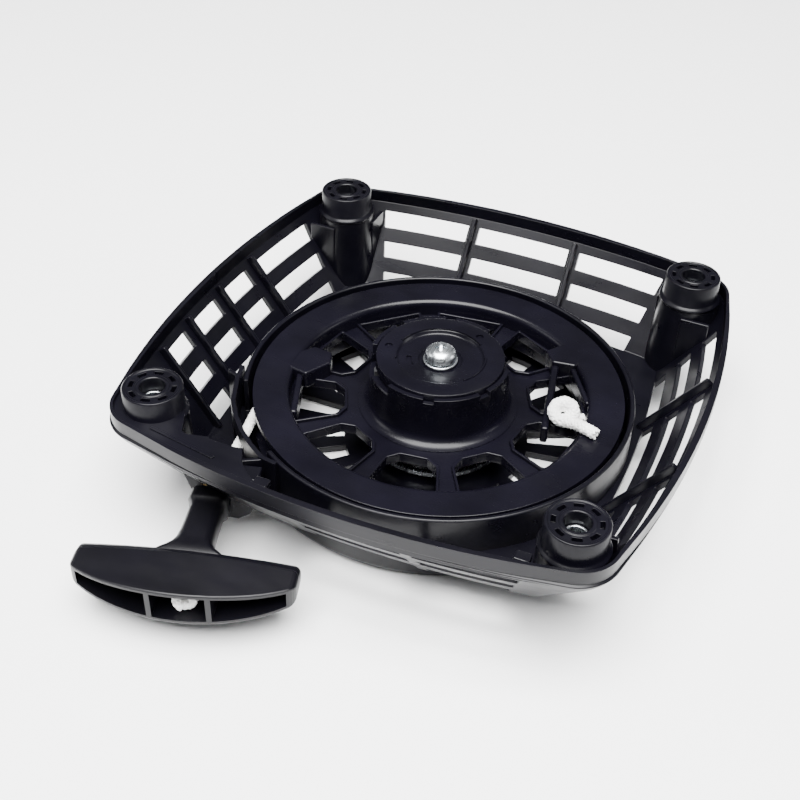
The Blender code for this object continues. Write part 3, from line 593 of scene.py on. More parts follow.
def build_wall_ribs():
    """Upright fins on the inside of the sloped walls."""
    low, high = 13.6, 45.4
    proud, root = 3.0, 0.9
    slope_turn = math.atan(WALL_SLOPE)
    length = (high - low) / math.cos(slope_turn)
    inward = Vector((-math.cos(slope_turn), 0, math.sin(slope_turn)))
    for index, side in enumerate(SIDES):
        for u in SIDE_RIBS[side]:
            bow = 10.0 * (u / 83.5) ** 2
            middle = Vector((wall_half((low + high) / 2) - bow, u, (low + high) / 2))
            name = f"wall_rib_{side}_{int(u + 100)}"
            rib = block(name, (proud + root, 1.9, length),
                        middle + inward * (proud - root) / 2, (0, slope_turn, 0))
            settle(rib, turn=(0, 0, index * math.pi / 2))
            soften(rib, 0.55, 3)
            housing_piece(rib)


def build_boss(name, centre, hull):
    """A bolt boss: upright head with its ring of pockets on a tapered tower."""
    sides = 72
    top = BOSS_TOP
    section = [(BOLT_HOLE_R, 42.0), (BOLT_HOLE_R, top - 0.35), (BOLT_HOLE_R + 0.35, top),
               (6.1, top), (6.35, top - 0.3), (7.2, top - 0.3), (8.8, top - 0.3),
               (9.75, top - 0.3), (10.0, top), (BOSS_R - 0.4, top), (BOSS_R, top - 0.5),
               (BOSS_R, 49.3), (11.6, 48.5), (12.3, 48.1), (12.55, 47.5), (12.3, 46.9),
               (11.9, 46.6), (12.1, 42.0)]
    outlines = [circle(r, z, sides, centre, math.radians(2.5)) for r, z in section]
    head, rings = loft(f"boss_head_{name}", outlines, closed=True)
    pockets = [k for k in range(sides) if k % 9 < 5]
    select_cells(head, rings[5], rings[6], pockets)
    bpy.ops.mesh.extrude_region_move(TRANSFORM_OT_translate={"value": (0, 0, -3.0 * MM)})
    close_up(head)
    soften(head, 0.16, 2, 40.0)
    housing_piece(head)
    section = [(BOLT_SEAT_R, 13.0), (BOLT_SEAT_R, BOLT_SEAT), (BOLT_HOLE_R, BOLT_SEAT),
               (BOLT_HOLE_R, 45.0), (12.1, 46.5), (13.8, 13.0)]
    tower = turned(f"boss_tower_{name}", section, sides, centre, True)
    cut(tower, hull, 'INTERSECT', keep_tool=True)
    smooth(tower, 35.0)
    housing_piece(tower)


def build_corner_web(name, centre, along, hull):
    """A flat web from a boss to one of its two walls."""
    sx, sy = math.copysign(1, centre[0]), math.copysign(1, centre[1])
    inner = 12.3
    reach = 12.0
    if along == "x":
        place = (centre[0] - sx * inner, centre[1] + sy * reach / 2, 29.5)
        size = (1.8, reach, 29.0)
    else:
        place = (centre[0] + sx * reach / 2, centre[1] - sy * inner, 29.5)
        size = (reach, 1.8, 29.0)
    web = block(f"corner_web_{name}_{along}", size, place)
    soften(web, 0.4, 2)
    cut(web, hull, 'INTERSECT', keep_tool=True)
    housing_piece(web)


def build_cup():
    """The round wall that the reel turns in, with the way out for the rope."""
    section = [(CUP_INNER, 2.0), (CUP_INNER, CUP_TOP - 0.5), (CUP_INNER + 0.5, CUP_TOP),
               (CUP_OUTER - 0.5, CUP_TOP), (CUP_OUTER, CUP_TOP - 0.5), (CUP_OUTER, 3.5),
               (CUP_OUTER - 0.9, 1.3), (CUP_OUTER - 3.0, 0.0), (CUP_INNER - 4.0, 0.0),
               (CUP_INNER - 4.0, 2.0)]
    cup = turned("reel_cup", section, 160, closed=True)
    sector = arc((0, 0), 74.0, 204.5, 237.5, 16) + arc((0, 0), 82.0, 237.5, 204.5, 16)
    cut(cup, prism("rope_opening", sector, LEDGE_TOP, 40.0))
    soften(cup, 0.25, 2, 40.0)
    housing_piece(cup)

    floor_sections = [(9.0, FLOOR_TOP), (32.0, FLOOR_TOP), (38.0, FLOOR_TOP),
                      (66.0, FLOOR_TOP), (CUP_INNER, FLOOR_TOP)]
    outlines = [circle(r, z, 160) for r, z in floor_sections]
    floor, rings = loft("cup_floor", outlines, capped=False)
    select_cells(floor, rings[2], rings[3], [k for k in range(160) if k % 8 < 4])
    bpy.ops.mesh.delete(type='ONLY_FACE')
    select_edges(floor, rings[0])
    bpy.ops.mesh.edge_face_add()
    close_up(floor)
    apply(floor, 'SOLIDIFY', thickness=FLOOR_TOP * MM, offset=-1.0 if floor_up(floor) else 1.0)
    soften(floor, 0.35, 2)
    housing_piece(floor)

    section = [(9.5, 2.8), (9.5, 3.4), (8.4, 5.0), (POST_R, 6.4), (POST_R, POST_TOP - 0.4),
               (POST_R - 0.4, POST_TOP), (2.7, POST_TOP), (2.7, 16.0), (2.6, 2.8)]
    post = turned("reel_post", section, 48, closed=True)
    soften(post, 0.2, 1, 50.0)
    housing_piece(post)


def floor_up(obj):
    """Whether a flat sheet's faces point up."""
    return sum(p.normal.z for p in obj.data.polygons) > 0


def lead_line():
    """The rope's straight way from the reel to the guide, as two points in mm."""
    reach = math.hypot(GUIDE.x, GUIDE.y)
    angle = math.atan2(GUIDE.y, GUIDE.x) - math.acos(OUTER_COIL_R / reach)
    start = Vector((OUTER_COIL_R * math.cos(angle), OUTER_COIL_R * math.sin(angle), ROPE_Z))
    return start, GUIDE.copy()


def build_rope_guard():
    """The bulged wall beside the rope's way out, and the rib that ties it to the front."""
    line = [(-76.5, -24.0), (-74.6, -31.5), (-68.6, -45.5), (-62.8, -53.2), (-56.6, -59.6),
            (-49.8, -65.0), (-42.5, -69.6), (-36.0, -70.4)]
    outer = []
    inner = []
    for k, point in enumerate(line):
        here = Vector(point)
        ahead = Vector(line[min(k + 1, len(line) - 1)]) - Vector(line[max(k - 1, 0)])
        side = Vector((ahead.y, -ahead.x)).normalized() * 0.9
        outer.append(tuple(here + side))
        inner.append(tuple(here - side))
    guard = prism("rope_guard", outer + inner[::-1], 12.5, CUP_TOP - 0.05)
    start, end = lead_line()
    opening = block("guard_opening", (34.0, 8.6, 8.6), start.lerp(end, 0.72),
                    (0, 0, math.atan2(end.y - start.y, end.x - start.x)))
    cut(guard, opening)
    soften(guard, 0.3, 2)
    housing_piece(guard)
    for name, start, end in (("front", (-41.0, -69.0), (-51.5, -75.6)),
                             ("side", (-73.5, -30.5), (-80.5, -28.0))):
        ahead = Vector(end) - Vector(start)
        middle = (Vector(start) + Vector(end)) / 2
        rib = block(f"guard_rib_{name}", (ahead.length, 1.6, 15.5),
                    (middle.x, middle.y, 21.6), (0, 0, math.atan2(ahead.y, ahead.x)))
        soften(rib, 0.35, 2)
        housing_piece(rib)


def build_shelf(hull):
    """The flat shelf by the front left boss, over the rope guide."""
    outline = [(-100.0, -74.0), (-84.0, -70.5), (-79.5, -71.6), (-67.5, -79.5), (-66.2, -82.0),
               (-63.0, -88.6), (-61.0, -89.2), (-53.0, -87.2), (-52.2, -87.9), (-44.0, -88.2),
               (-39.2, -87.4), (-36.4, -92.8), (-34.2, -95.4), (-30.9, -98.1), (-27.4, -100.4),
               (-27.2, -104.0), (-50.0, -103.0), (-72.0, -101.0), (-92.0, -95.0),
               (-100.0, -86.0)]
    shelf = prism("guide_shelf", outline, SHELF_TOP - 3.0, SHELF_TOP)
    cut(shelf, hull, 'INTERSECT', keep_tool=True)
    hole = turned("boss_clearance", [(11.0, 40.0), (11.0, 60.0)], 48, BOSSES["front_left"])
    cut(shelf, hole)
    soften(shelf, 0.35, 2)
    housing_piece(shelf)
    strip = prism("shelf_step", [(-74.0, -92.6), (-73.4, -91.2), (-45.5, -95.4), (-46.0, -97.0)],
                  SHELF_TOP - 0.5, SHELF_TOP + 0.45)
    soften(strip, 0.2, 2)
    housing_piece(strip)
    for name, place in (("front", (67.0, -94.0)), ("front_left", (-25.0, -99.6))):
        tab = block(f"rim_tab_{name}", (5.5, 4.4, 2.6), (*place, 48.4))
        soften(tab, 0.5, 2)
        cut(tab, hull, 'INTERSECT', keep_tool=True)
        housing_piece(tab)


def build_guide_lug():
    """The lug under the rim that holds the rope guide, and the guide's eyelet."""
    outline = [(-11.5, 27.5), (-8.6, 19.0), (-6.0, 11.0), (-1.0, 7.2), (8.5, 6.6), (13.0, 9.6),
               (15.8, 16.0), (17.0, 24.0), (17.0, 27.5)]
    lug = prism("guide_lug", outline, -7.0, 1.0, pull_frame)
    bore = turned("lug_bore", [(5.2, -20.0), (5.2, 20.0)], 48)
    settle(bore, GUIDE, (math.pi / 2, 0, PULL_YAW))
    cut(lug, bore)
    soften(lug, 0.7, 3)
    housing_piece(lug)
    section = [(2.75, -7.0), (3.1, -7.7), (3.9, -8.2), (6.0, -8.2), (6.4, -7.9), (6.3, -7.4),
               (4.85, -7.4), (4.85, 1.4), (4.5, 2.0), (3.9, 2.2), (3.2, 1.9), (2.75, 1.2)]
    eyelet = turned("rope_eyelet", section, 56, closed=True)
    settle(eyelet, GUIDE, (math.pi / 2, 0, PULL_YAW))
    soften(eyelet, 0.1, 1, 50.0)
    finish_piece(eyelet, "root", GUIDE_BRASS, "guide_brass", "rope_guide")


def build_sleeves():
    """The steel sleeves that line the bolt ways."""
    for name, centre in BOSSES.items():
        low, high = [corner.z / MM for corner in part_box(f"bolt_sleeve_{name}")]
        outer = BOLT_HOLE_R - 0.35
        section = [(3.4, low), (outer, low), (outer, high), (3.4, high)]
        sleeve = turned(f"sleeve_{name}", section, 48, centre, True)
        soften(sleeve, 0.25, 2)
        finish_piece(sleeve, "root", ZINC, "zinc_steel", f"bolt_sleeve_{name}")


# ---------------------------------------------------------------- reel

def window_outline(inset=0.0):
    """One window's outline: radial sides and two cut corners at the hub's end."""
    half_turn = math.pi / WINDOWS - math.radians(4.5)
    low, high = 37.7 + inset, 57.6 - inset
    slip = inset / math.cos(half_turn)
    near = low * math.tan(half_turn) - slip
    far = high * math.tan(half_turn) - slip
    cut_in = 3.6
    rise = cut_in * math.tan(half_turn)
    return [(low, -near + cut_in), (low + cut_in, -near - rise), (high, -far), (high, far),
            (low + cut_in, near + rise), (low, near - cut_in)]


def window_turn(k):
    """The angle of window k's middle."""
    return SPOKE_ANGLE + (k + 0.5) * 2 * math.pi / WINDOWS


def build_reel():
    """The reel in its moulded parts: rope groove, windowed web, hub and drum."""
    section = [(RING_INNER, 12.0), (REEL_R, 12.0), (REEL_R, 14.5), (GROOVE_R, 14.5),
               (GROOVE_R, 25.8), (REEL_R, 25.8), (REEL_R, RING_TOP)]
    section += [(62.6 + 2.6 * math.cos(math.radians(a)), RING_TOP - 2.6 +
                 2.6 * math.sin(math.radians(a))) for a in (90, 108, 126, 144, 162, 180)]
    ring = turned("reel_ring", section, 180, closed=True)
    soften(ring, 0.3, 2, 50.0)
    reel_piece(ring, "reel")

    section = [(26.5, WEB_TOP - WEB_THICK), (60.6, WEB_TOP - WEB_THICK), (60.6, WEB_TOP),
               (26.5, WEB_TOP)]
    web = turned("reel_web", section, 180, closed=True)
    for k in range(WINDOWS):
        opening = prism("web_window", window_outline(), 10.0, 40.0)
        settle(opening, turn=(0, 0, window_turn(k)))
        cut(web, opening)
    soften(web, 0.5, 3)
    reel_piece(web)

    for k in range(WINDOWS):
        outlines = []
        for grow, z in ((0.0, WEB_TOP - 2.6), (0.0, WEB_TOP + 1.5), (1.1, WEB_TOP + 1.5),
                        (1.1, WEB_TOP - 2.6)):
            outlines.append([(u, v, z) for u, v in window_outline(-grow + 0.15)])
        lip = close_up(loft(f"window_lip_{k}", outlines, closed=True)[0])
        settle(lip, turn=(0, 0, window_turn(k)))
        soften(lip, 0.4, 3)
        reel_piece(lip)

    section = [(7.5, 8.0), (9.8, 8.0), (9.8, 22.0), (25.6, 22.0), (25.6, 8.0), (DRUM_R, 8.0),
               (DRUM_R, 18.6), (32.4, 18.9), (32.4, WEB_TOP + 0.4)]
    section += [(32.0 - 4.0 * math.sin(math.radians(a)),
                 WEB_TOP + 0.4 + 4.0 - 4.0 * math.cos(math.radians(a)))
                for a in (12, 28, 44, 60, 76, 90)]
    section += [(DRUM_R, DRUM_TOP - 0.5), (DRUM_R - 0.5, DRUM_TOP), (13.0, DRUM_TOP),
                (13.0, PAWL_FLOOR), (7.5, PAWL_FLOOR)]
    drum = turned("reel_drum", section, 120, closed=True)
    for turn in (0.0, math.pi):
        pocket = arc((PAWL_PIVOT_R, 0.0), 4.5, 180, 360, 12)
        pocket += [(33.5, 14.0), (33.5, 19.0), (15.0, 16.0)]
        tool = prism("pawl_pocket", pocket, PAWL_FLOOR, DRUM_TOP + 2.0)
        settle(tool, turn=(0, 0, turn))
        cut(drum, tool)
    soften(drum, 0.25, 2, 38.0)
    reel_piece(drum)


def build_anchor():
    """The rope's anchor: a flat tab on two ridges, and the tab that balances it."""
    tabs = {
        "anchor_tab": ([(31.2, 42.4), (36.4, 35.9), (45.6, 37.4), (47.4, 41.6), (45.0, 47.6),
                        (38.4, 52.4)], 20.5, RING_TOP - 0.1),
        "balance_tab": ([(-60.8, -14.5), (-61.2, -3.0), (-57.1, 2.6), (-48.8, 2.0),
                         (-46.2, -4.7), (-52.0, -15.8)], 20.5, RING_TOP - 0.2),
    }
    for name, (outline, low, high) in tabs.items():
        tab = prism(name, outline, low, high)
        soften(tab, 0.9, 4)
        reel_piece(tab)
    ridges = {
        "anchor_ridge_inner": ((37.2, 38.5), (46.5, -4.2), 2.9),
        "anchor_ridge_outer": ((43.4, 40.0), (57.4, 18.4), 2.3),
        "balance_ridge": ((-56.3, -12.0), (-46.3, -37.6), 2.7),
    }
    for name, (start, end, wide) in ridges.items():
        ahead = Vector(end) - Vector(start)
        middle = (Vector(start) + Vector(end)) / 2
        high = 26.6
        ridge = block(name, (ahead.length, wide, high - 19.0),
                      (middle.x, middle.y, (high + 19.0) / 2),
                      (0, 0, math.atan2(ahead.y, ahead.x)))
        soften(ridge, 0.95, 4)
        reel_piece(ridge)
    socket = turned("anchor_socket", [(4.6, 20.0), (4.6, 24.6), (6.1, 24.6), (6.6, 21.5),
                                      (6.6, 20.0)], 48, (KNOT.x, KNOT.y), True)
    soften(socket, 0.4, 3, 30.0)
    reel_piece(socket)


def build_pawl_plate():
    """The dished disc over the pawls, with its dimples, hook slot and two fine lips."""
    under = DRUM_TOP + 0.35
    face = under + 5.0
    section = [(3.3, under), (24.9, under), (25.6, under + 0.6), (25.6, face - 0.7),
               (25.4, face - 0.2), (24.9, face), (18.2, face), (17.6, face - 0.15),
               (17.2, face - 0.6), (16.9, face - 1.4), (16.5, face - 1.7), (15.8, face - 1.8),
               (9.4, face - 1.8), (8.8, face - 2.0), (8.5, face - 2.5), (8.0, face - 2.75),
               (3.3, face - 2.8)]
    plate = turned("pawl_plate_disc", section, 120, closed=True)
    for x, y in ((-21.2, -2.8), (-14.2, -9.0), (9.5, 18.4)):
        cut(plate, turned("dimple", [(1.5, face - 0.8), (1.7, face + 2.0)], 24, (x, y)))
    slot = arc((0, 0), 13.6, 196, 224, 8) + arc((0, 0), 11.4, 224, 196, 8)
    cut(plate, prism("hook_slot", slot, face - 2.6, face + 2.0))
    soften(plate, 0.2, 2, 40.0)
    finish_piece(plate, "pawl_plate", REEL_BLACK, "black_acetal", "pawl_plate")
    for name, start, stop in (("inner", 48, 172), ("outer", -38, 20)):
        run = [Vector((x, y, face)) for x, y in arc((0, 0), 17.9, start, stop, 20)]
        lip = runs_to_mesh(f"plate_lip_{name}", [smooth_route(run, 0.35)], 0.5, 1)
        finish_piece(lip, "pawl_plate", REEL_BLACK, "black_acetal")


def build_drum_collar():
    """The drum's raised edge round the pawl plate, open where the pawls swing out."""
    for name, start, stop in (("back", 66, 188), ("front", 246, 368)):
        outline = arc((0, 0), DRUM_R, start, stop, 48)
        outline += arc((0, 0), COLLAR_INNER, stop, start, 48)
        collar = prism(f"drum_collar_{name}", outline, DRUM_TOP - 2.0, DRUM_TOP + 4.5)
        for at in (start + 37, start + 84):
            a = math.radians(at)
            notch = block("collar_notch", (6.0, 4.2, 4.0),
                          (27 * math.cos(a), 27 * math.sin(a), DRUM_TOP + 4.6), (0, 0, a))
            cut(collar, notch)
        soften(collar, 0.3, 2, 38.0)
        reel_piece(collar)


def build_centre_screw():
    """Pan-head cross-recess screw and its plain washer."""
    seat = SCREW_SEAT
    section = [(2.0, 38.0), (2.35, 38.6), (2.35, seat + 0.3), (6.0, seat + 0.1),
               (6.2, seat + 0.4), (6.2, seat + 1.8), (6.05, seat + 2.6), (5.6, seat + 3.4),
               (4.9, seat + 4.05), (3.9, seat + 4.55), (2.6, seat + 4.9), (1.2, seat + 5.07)]
    screw = turned("screw_head", section, 72)
    for turn in (0.35, 0.35 + math.pi / 2):
        wing = [(-2.5, 5.6), (-2.3, 4.2), (-0.6, 2.4), (0.6, 2.4), (2.3, 4.2), (2.5, 5.6)]
        wing = [(u, seat + v) for u, v in wing]
        tool = prism("recess_wing", wing, -0.5, 0.5, lambda u, v, depth: (u, depth, v))
        settle(tool, turn=(0, 0, turn))
        cut(screw, tool)
    soften(screw, 0.14, 2, 30.0)
    finish_piece(screw, "root", ZINC, "zinc_steel", "centre_screw")
    top = seat - 0.35
    section = [(2.75, top - 0.95), (6.7, top - 0.95), (6.9, top - 0.8), (6.9, top - 0.15),
               (6.7, top), (2.75, top)]
    washer = turned("plain_washer", section, 72, closed=True)
    soften(washer, 0.08, 1, 30.0)
    finish_piece(washer, "root", ZINC, "zinc_steel", "screw_washer")


# ---------------------------------------------------------------- rope

def smooth_route(corners, spacing):
    """Points about a spacing apart on a Catmull-Rom curve through the corners, in mm."""
    padded = [corners[0] * 2 - corners[1]] + list(corners) + [corners[-1] * 2 - corners[-2]]
    points = []
    for k in range(1, len(padded) - 2):
        p0, p1, p2, p3 = padded[k - 1:k + 3]
        steps = max(1, round((p2 - p1).length / spacing))
        for s in range(steps):
            t = s / steps
            points.append(0.5 * ((2 * p1) + (p2 - p0) * t
                                 + (2 * p0 - 5 * p1 + 4 * p2 - p3) * t * t
                                 + (3 * p1 - p0 - 3 * p2 + p3) * t ** 3))
    points.append(corners[-1])
    return points


def carried_frames(route):
    """For each point of a route: its length so far, and two directions square to it."""
    frames = []
    normal = UP.copy() if abs((route[1] - route[0]).normalized().z) < 0.9 else Vector((1, 0, 0))
    length = 0.0
    for k, point in enumerate(route):
        if k:
            length += (point - route[k - 1]).length
        ahead = (route[min(k + 1, len(route) - 1)] - route[max(k - 1, 0)]).normalized()
        normal = (normal - ahead * normal.dot(ahead)).normalized()
        frames.append((length, point, normal.copy(), ahead.cross(normal)))
    return frames


def runs_to_mesh(name, runs, radius, resolution):
    """Round yarns along runs of points, made a mesh."""
    data = bpy.data.curves.new(name, 'CURVE')
    data.dimensions = '3D'
    data.bevel_depth = radius * MM
    data.bevel_resolution = resolution
    data.use_fill_caps = True
    for run in runs:
        spline = data.splines.new('POLY')
        spline.points.add(len(run) - 1)
        flat = []
        for point in run:
            flat += [*(point * MM), 1.0]
        spline.points.foreach_set("co", flat)
    obj = bpy.data.objects.new(name, data)
    bpy.context.scene.collection.objects.link(obj)
    pick(obj)
    bpy.ops.object.convert(target='MESH')
    obj = bpy.context.object
    obj.data.name = name
    bpy.ops.object.mode_set(mode='EDIT')
    bpy.ops.mesh.select_all(action='SELECT')
    bpy.ops.mesh.normals_make_consistent(inside=False)
    smooth(obj, 60.0)
    return obj


def braided_rope(name, route, radius, body, lay_length, fine, *replaced):
    """Yarns that wind both ways round a route, each over one and under the next."""
    thick = radius * 0.3
    middle = radius - thick * 1.02
    runs = []
    frames = carried_frames(route)
    for way in (1, -1):
        for k in range(YARNS):
            run = []
            for length, point, normal, side in frames:
                a = way * 2 * math.pi * length / lay_length + 2 * math.pi * (k + 0.25) / YARNS
                wave = math.cos(2 * math.pi * YARNS * length / lay_length + math.pi * k)
                out = middle + way * wave * thick * 0.32
                run.append(point + (normal * math.cos(a) + side * math.sin(a)) * out)
            runs.append(run)
    core = [point for _, point, _, _ in frames]
    rope = runs_to_mesh(name, runs, thick, fine)
    heart = runs_to_mesh(name + "_heart", [core], middle - thick * 0.35, 2)
    pick(rope)
    heart.select_set(True)
    bpy.ops.object.join()
    return finish_piece(rope, body, YARN, "rope", *replaced)


def coil_route():
    """The rope wound on the reel, from the groove's wall out to where it leaves."""
    entry = math.radians(25.0)
    start = lead_line()[0]
    last = math.atan2(start.y, start.x) % (2 * math.pi) - entry + 4 * math.pi - 0.012

    def eased(t):
        t = min(1.0, max(0.0, t))
        return t * t * (3 - 2 * t)

    route = []
    steps = 900
    for k in range(steps + 1):
        turn = 0.35 + (last - 0.35) * k / steps
        down, out = eased((turn - 5.6) / 0.8), eased((turn - 11.9) / 0.8)
        radius = INNER_COIL_R + (OUTER_COIL_R - INNER_COIL_R) * out
        z = 23.2 - 6.1 * down + (ROPE_Z - 17.1) * out
        route.append(Vector((radius * math.cos(entry + turn), radius * math.sin(entry + turn), z)))
    return route


def looped(centre, axis, across, sizes, rise, start, turns):
    """Points on loops about an axis, from the first size out to the second; start in degrees."""
    axis = axis.normalized()
    side = (across - axis * across.dot(axis)).normalized()
    other = axis.cross(side)
    points = []
    steps = round(16 * turns)
    for k in range(steps + 1):
        a = math.radians(start + 360 * turns * k / steps)
        lift = rise * (k / steps - 0.5) + 0.35 * math.sin(2 * a)
        size = sizes[0] + (sizes[1] - sizes[0]) * min(1.0, 1.6 * k / steps)
        points.append(centre + (side * math.cos(a) + other * math.sin(a)) * size + axis * lift)
    return points


def build_rope():
    """The coil on the reel, its lead to the guide, and the drawn rope into the handle."""
    start, end = lead_line()
    coil = coil_route()
    braided_rope("rope_coil", coil, ROPE_R, "reel", 14.0, 0, "rope_on_reel")
    lead_run = smooth_route([start, start.lerp(end, 0.5), end - PULL * 4, end, end + PULL * 2.3],
                            0.3)
    braided_rope("rope_to_guide", lead_run, ROPE_R, "root", 10.0, 1, "rope_lead")
    inside = smooth_route([GUIDE + PULL * d for d in (5.5, 12, 22, 32, 41.0)], 0.6)
    braided_rope("rope_through_handle", inside, ROPE_R, "handle", 10.0, 0, "rope_in_handle")
    stub = [GUIDE + PULL * (1.4 + 0.35 * k) for k in range(13)]
    drawn = runs_to_mesh("rope_drawn_out", [stub], ROPE_R * 0.97, 4)
    drawn.data.materials.append(DRAWN_YARN)
    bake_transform(drawn)
    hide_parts("rope_pull")


def build_knots():
    """The stop knots at the rope's two ends."""
    facing = Vector((0.12, -0.5, 0.86))
    lean = Vector((0.92, 0.39, 0))
    middle = KNOT + Vector((-1.5, -3.6, 0.9))
    loops = looped(middle, facing, lean, (2.5, 4.1), 3.6, -110, 2.05)
    entry = [Vector((57.5, 12.0, 23.0)), Vector((53.5, 8.5, 24.2))]
    tail = [Vector((57.6, -0.6, 30.2)), Vector((61.8, -2.4, 30.9)), Vector((66.6, -4.1, 31.0))]
    run = smooth_route(entry + loops + tail, 0.3)
    braided_rope("knot_in_reel", run, 2.3, "reel", 10.0, 1, "reel_knot")
    at = GUIDE + PULL * 52.0 + ACROSS * 2.6 - UP * 1.0
    loops = looped(at, PULL + UP * 0.5, ACROSS, (2.2, 2.8), 2.4, 40, 1.6)
    run = smooth_route([GUIDE + PULL * 42.6, GUIDE + PULL * 46.0 + ACROSS * 0.6] + loops, 0.3)
    braided_rope("knot_in_handle", run, 1.75, "handle", 9.0, 1, "handle_knot")


# ---------------------------------------------------------------- handle

def grip_outline(across):
    """The grip's section at a place across it: along the pull, and height."""
    t = across / GRIP_HALF
    over = max(0.0, abs(across) - GRIP_HALF + GRIP_ROUND)
    inset = GRIP_ROUND - math.sqrt(max(0.0, GRIP_ROUND ** 2 - over ** 2))
    front = GRIP_FRONT - GRIP_BOW * t * t - abs(t) ** 6 * 2.0 - inset
    back = GRIP_BACK + inset
    high = 7.2 - 3.0 * t * t - inset
    side = [(0.0, 0.0), (0.12, 0.3), (0.5, 0.54), (1.3, 0.74), (2.5, 0.87), (4.2, 0.94)]
    top = [(back + d, high * h) for d, h in side] + [(back + 4.5, high)]
    top += [(front - 0.6, high), (front - 0.18, high - 0.15), (front, high - 0.6)]
    return top + [(s, -v) for s, v in reversed(top[1:])]


def build_grip():
    """The T-bar, with its three moulded rooms open to the front."""
    ends = [GRIP_HALF, 39.3, 38.9, 38.3, GRIP_HALF - GRIP_ROUND, 36, 33, 29, 25, 21, 17, 14]
    dividers = [-8.9, 11.8]
    stations = sorted({-e for e in ends} | set(ends) | {-12.0, -5.0, 0.0, 5.0} | set(dividers))
    outlines = []
    for across in stations:
        outlines.append([pull_frame(across, ROPE_Z + v, s) for s, v in grip_outline(across)])
    grip = loft("grip_bar", outlines)[0]
    room_end = GRIP_HALF - GRIP_ROUND
    rooms = [(-room_end, dividers[0], 10.5), (*dividers, 16.0), (dividers[1], room_end, 10.5)]
    bpy.ops.mesh.select_mode(type='FACE')
    for low, high, deep in rooms:
        bpy.ops.mesh.select_all(action='DESELECT')
        bm = bmesh.from_edit_mesh(grip.data)
        bm.faces.ensure_lookup_table()
        for face in bm.faces:
            middle = face.calc_center_median() / MM - GUIDE
            across, along = middle.dot(ACROSS), middle.dot(PULL)
            flat = abs(face.normal.dot(PULL)) > 0.8 and len(face.verts) == 4
            flat = flat and face.calc_area() > 4.0 * MM * MM
            face.select = flat and along > 44 and low < across < high
        bm.select_flush_mode()
        bmesh.update_edit_mesh(grip.data)
        bpy.ops.mesh.inset(thickness=0.95 * MM, depth=0)
        bpy.ops.mesh.extrude_region_move(TRANSFORM_OT_translate={"value": -PULL * deep * MM})
    close_up(grip)
    finish_piece(grip, "handle", GRIP_BLACK, "grip_plastic", "handle")


def stem_ring(depth, half_wide, half_high, cut_in):
    a, b = half_wide, half_high
    corner = [(a, b * (1 - cut_in)), (a * (1 - cut_in * 0.18), b * (1 - cut_in * 0.45)),
              (a * (1 - cut_in * 0.5), b * (1 - cut_in * 0.12)), (a * (1 - cut_in * 0.9), b)]
    ring = corner + [(-u, v) for u, v in reversed(corner)]
    ring += [(-u, -v) for u, v in corner] + [(u, -v) for u, v in reversed(corner)]
    return [pull_frame(u, ROPE_Z + v, depth) for u, v in ring]


def build_stem():
    """The stem from its collar at the guide, flaring into the grip."""
    rows = [(4.1, 6.6, 6.0, 0.5), (4.6, 7.1, 6.4, 0.5), (5.4, 7.4, 6.7, 0.5),
            (9.4, 7.3, 6.6, 0.5), (10.2, 6.9, 6.3, 0.5), (11.0, 6.3, 5.8, 0.5),
            (13.0, 6.05, 5.6, 0.5), (20.0, 6.1, 5.6, 0.5), (26.0, 6.3, 5.8, 0.5),
            (29.5, 6.7, 6.0, 0.48), (32.0, 7.7, 6.3, 0.45), (34.0, 9.4, 6.4, 0.4),
            (35.6, 11.6, 6.2, 0.35), (37.4, 14.0, 5.6, 0.3), (39.6, 14.0, 4.6, 0.3)]
    stem = close_up(loft("handle_stem", [stem_ring(*row) for row in rows])[0])
    bore = turned("stem_bore", [(2.5, -10.0), (2.5, 39.0)], 32)
    settle(bore, GUIDE, (math.pi / 2, 0, PULL_YAW))
    cut(stem, bore)
    soften(stem, 0.25, 2, 40.0)
    finish_piece(stem, "handle", GRIP_BLACK, "grip_plastic")


# ---------------------------------------------------------------- pieces kept from the model

def refinish_kept_nodes():
    """Finishes for the pieces that stay as the model has them."""
    kept = {"pawl_1": PAWL_GREY, "pawl_2": PAWL_GREY, "pawl_pin_1": ZINC, "pawl_pin_2": ZINC,
            "brake_spring": SPRING_BLUE, "recoil_spring": SPRING_BLUE, "spring_cover": ZINC}
    for node, finish in kept.items():
        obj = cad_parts[node]
        for slot in obj.material_slots:
            slot.material = finish


# ---------------------------------------------------------------- studio

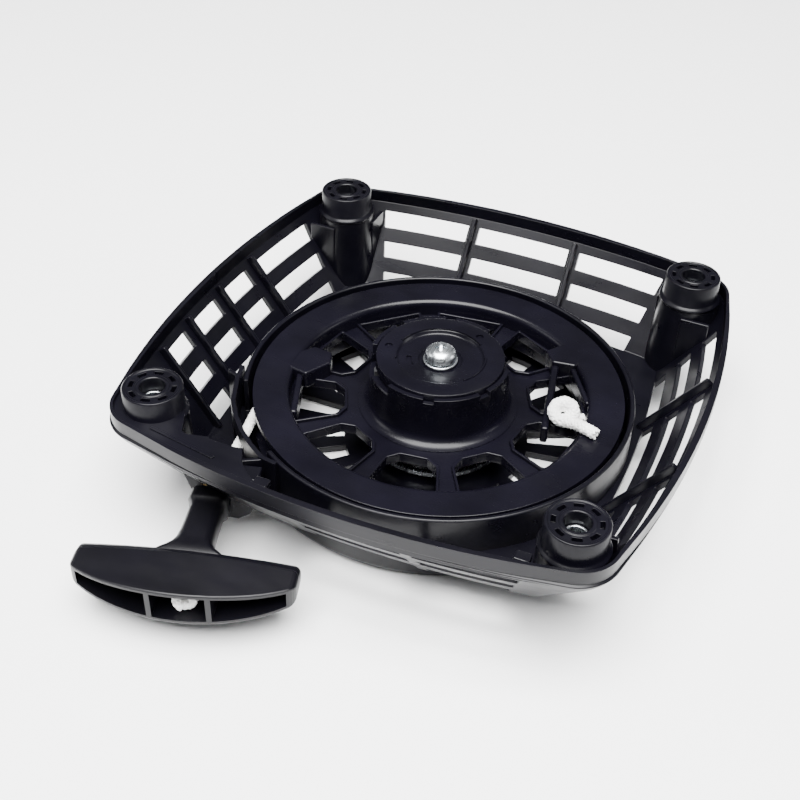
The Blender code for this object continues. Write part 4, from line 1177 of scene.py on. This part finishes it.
def build_studio():
    clear_selection()
    bpy.ops.mesh.primitive_plane_add(size=6.0, location=(0, 0, -0.0005))
    ground = bpy.context.object
    ground.name = "studio_floor"
    finish, nodes, links, shader = new_finish("floor_white", (0.96, 0.96, 0.96), 0.9)
    shader.inputs["Specular IOR Level"].default_value = 0.1
    ground.data.materials.append(finish)
    world = bpy.data.worlds.new("studio")
    world.use_nodes = True
    backdrop = world.node_tree.nodes["Background"]
    backdrop.inputs["Color"].default_value = (0.97, 0.975, 1.0, 1)
    backdrop.inputs["Strength"].default_value = 0.22
    bpy.context.scene.world = world
    lamps = {
        "top_softbox": ((0.1, -0.32, 1.25), 1.2, 118.0),
        "right_softbox": ((1.3, 0.5, 0.4), 0.5, 4.0),
        "left_softbox": ((-1.2, -0.5, 0.8), 0.6, 4.0),
    }
    for name, (place, size, power) in lamps.items():
        bpy.ops.object.light_add(type='AREA', location=place)
        lamp = bpy.context.object
        lamp.name = name
        lamp.data.size = size
        lamp.data.energy = power
        aim = Vector((0, 0, 0.03)) - Vector(place)
        lamp.rotation_euler = aim.to_track_quat('-Z', 'Y').to_euler()


def build_camera():
    azimuth, elevation, roll = math.radians(22.7), math.radians(39.0), math.radians(2.0)
    ahead = Vector((-math.sin(azimuth) * math.cos(elevation),
                    math.cos(azimuth) * math.cos(elevation), -math.sin(elevation)))
    level = Vector((math.cos(azimuth), math.sin(azimuth), 0))
    right = level * math.cos(roll) + level.cross(ahead) * math.sin(roll)
    above = right.cross(ahead)
    bpy.ops.object.camera_add()
    camera = bpy.context.object
    camera.name = "studio_camera"
    turn = Matrix((right, above, -ahead)).transposed().to_4x4()
    camera.matrix_world = Matrix.Translation(Vector((0.13285, -0.35748, 0.32919))) @ turn
    camera.data.lens = 54.23
    camera.data.sensor_width = 36.0
    camera.data.clip_start = 0.01
    bpy.context.scene.camera = camera


def main():
    build_camera()
    hull = inside_walls()
    build_walls()
    build_rim()
    build_wall_ribs()
    for name, centre in BOSSES.items():
        build_boss(name, centre, hull)
    for name, along in (("front_right", "y"), ("back_right", "x"), ("back_right", "y"),
                        ("back_left", "x"), ("back_left", "y")):
        build_corner_web(name, BOSSES[name], along, hull)
    build_cup()
    build_rope_guard()
    build_shelf(hull)
    bpy.data.objects.remove(hull, do_unlink=True)
    build_guide_lug()
    build_sleeves()
    build_reel()
    build_anchor()
    build_pawl_plate()
    build_drum_collar()
    build_centre_screw()
    build_rope()
    build_knots()
    build_grip()
    build_stem()
    refinish_kept_nodes()
    build_studio()


main()
clear_selection()
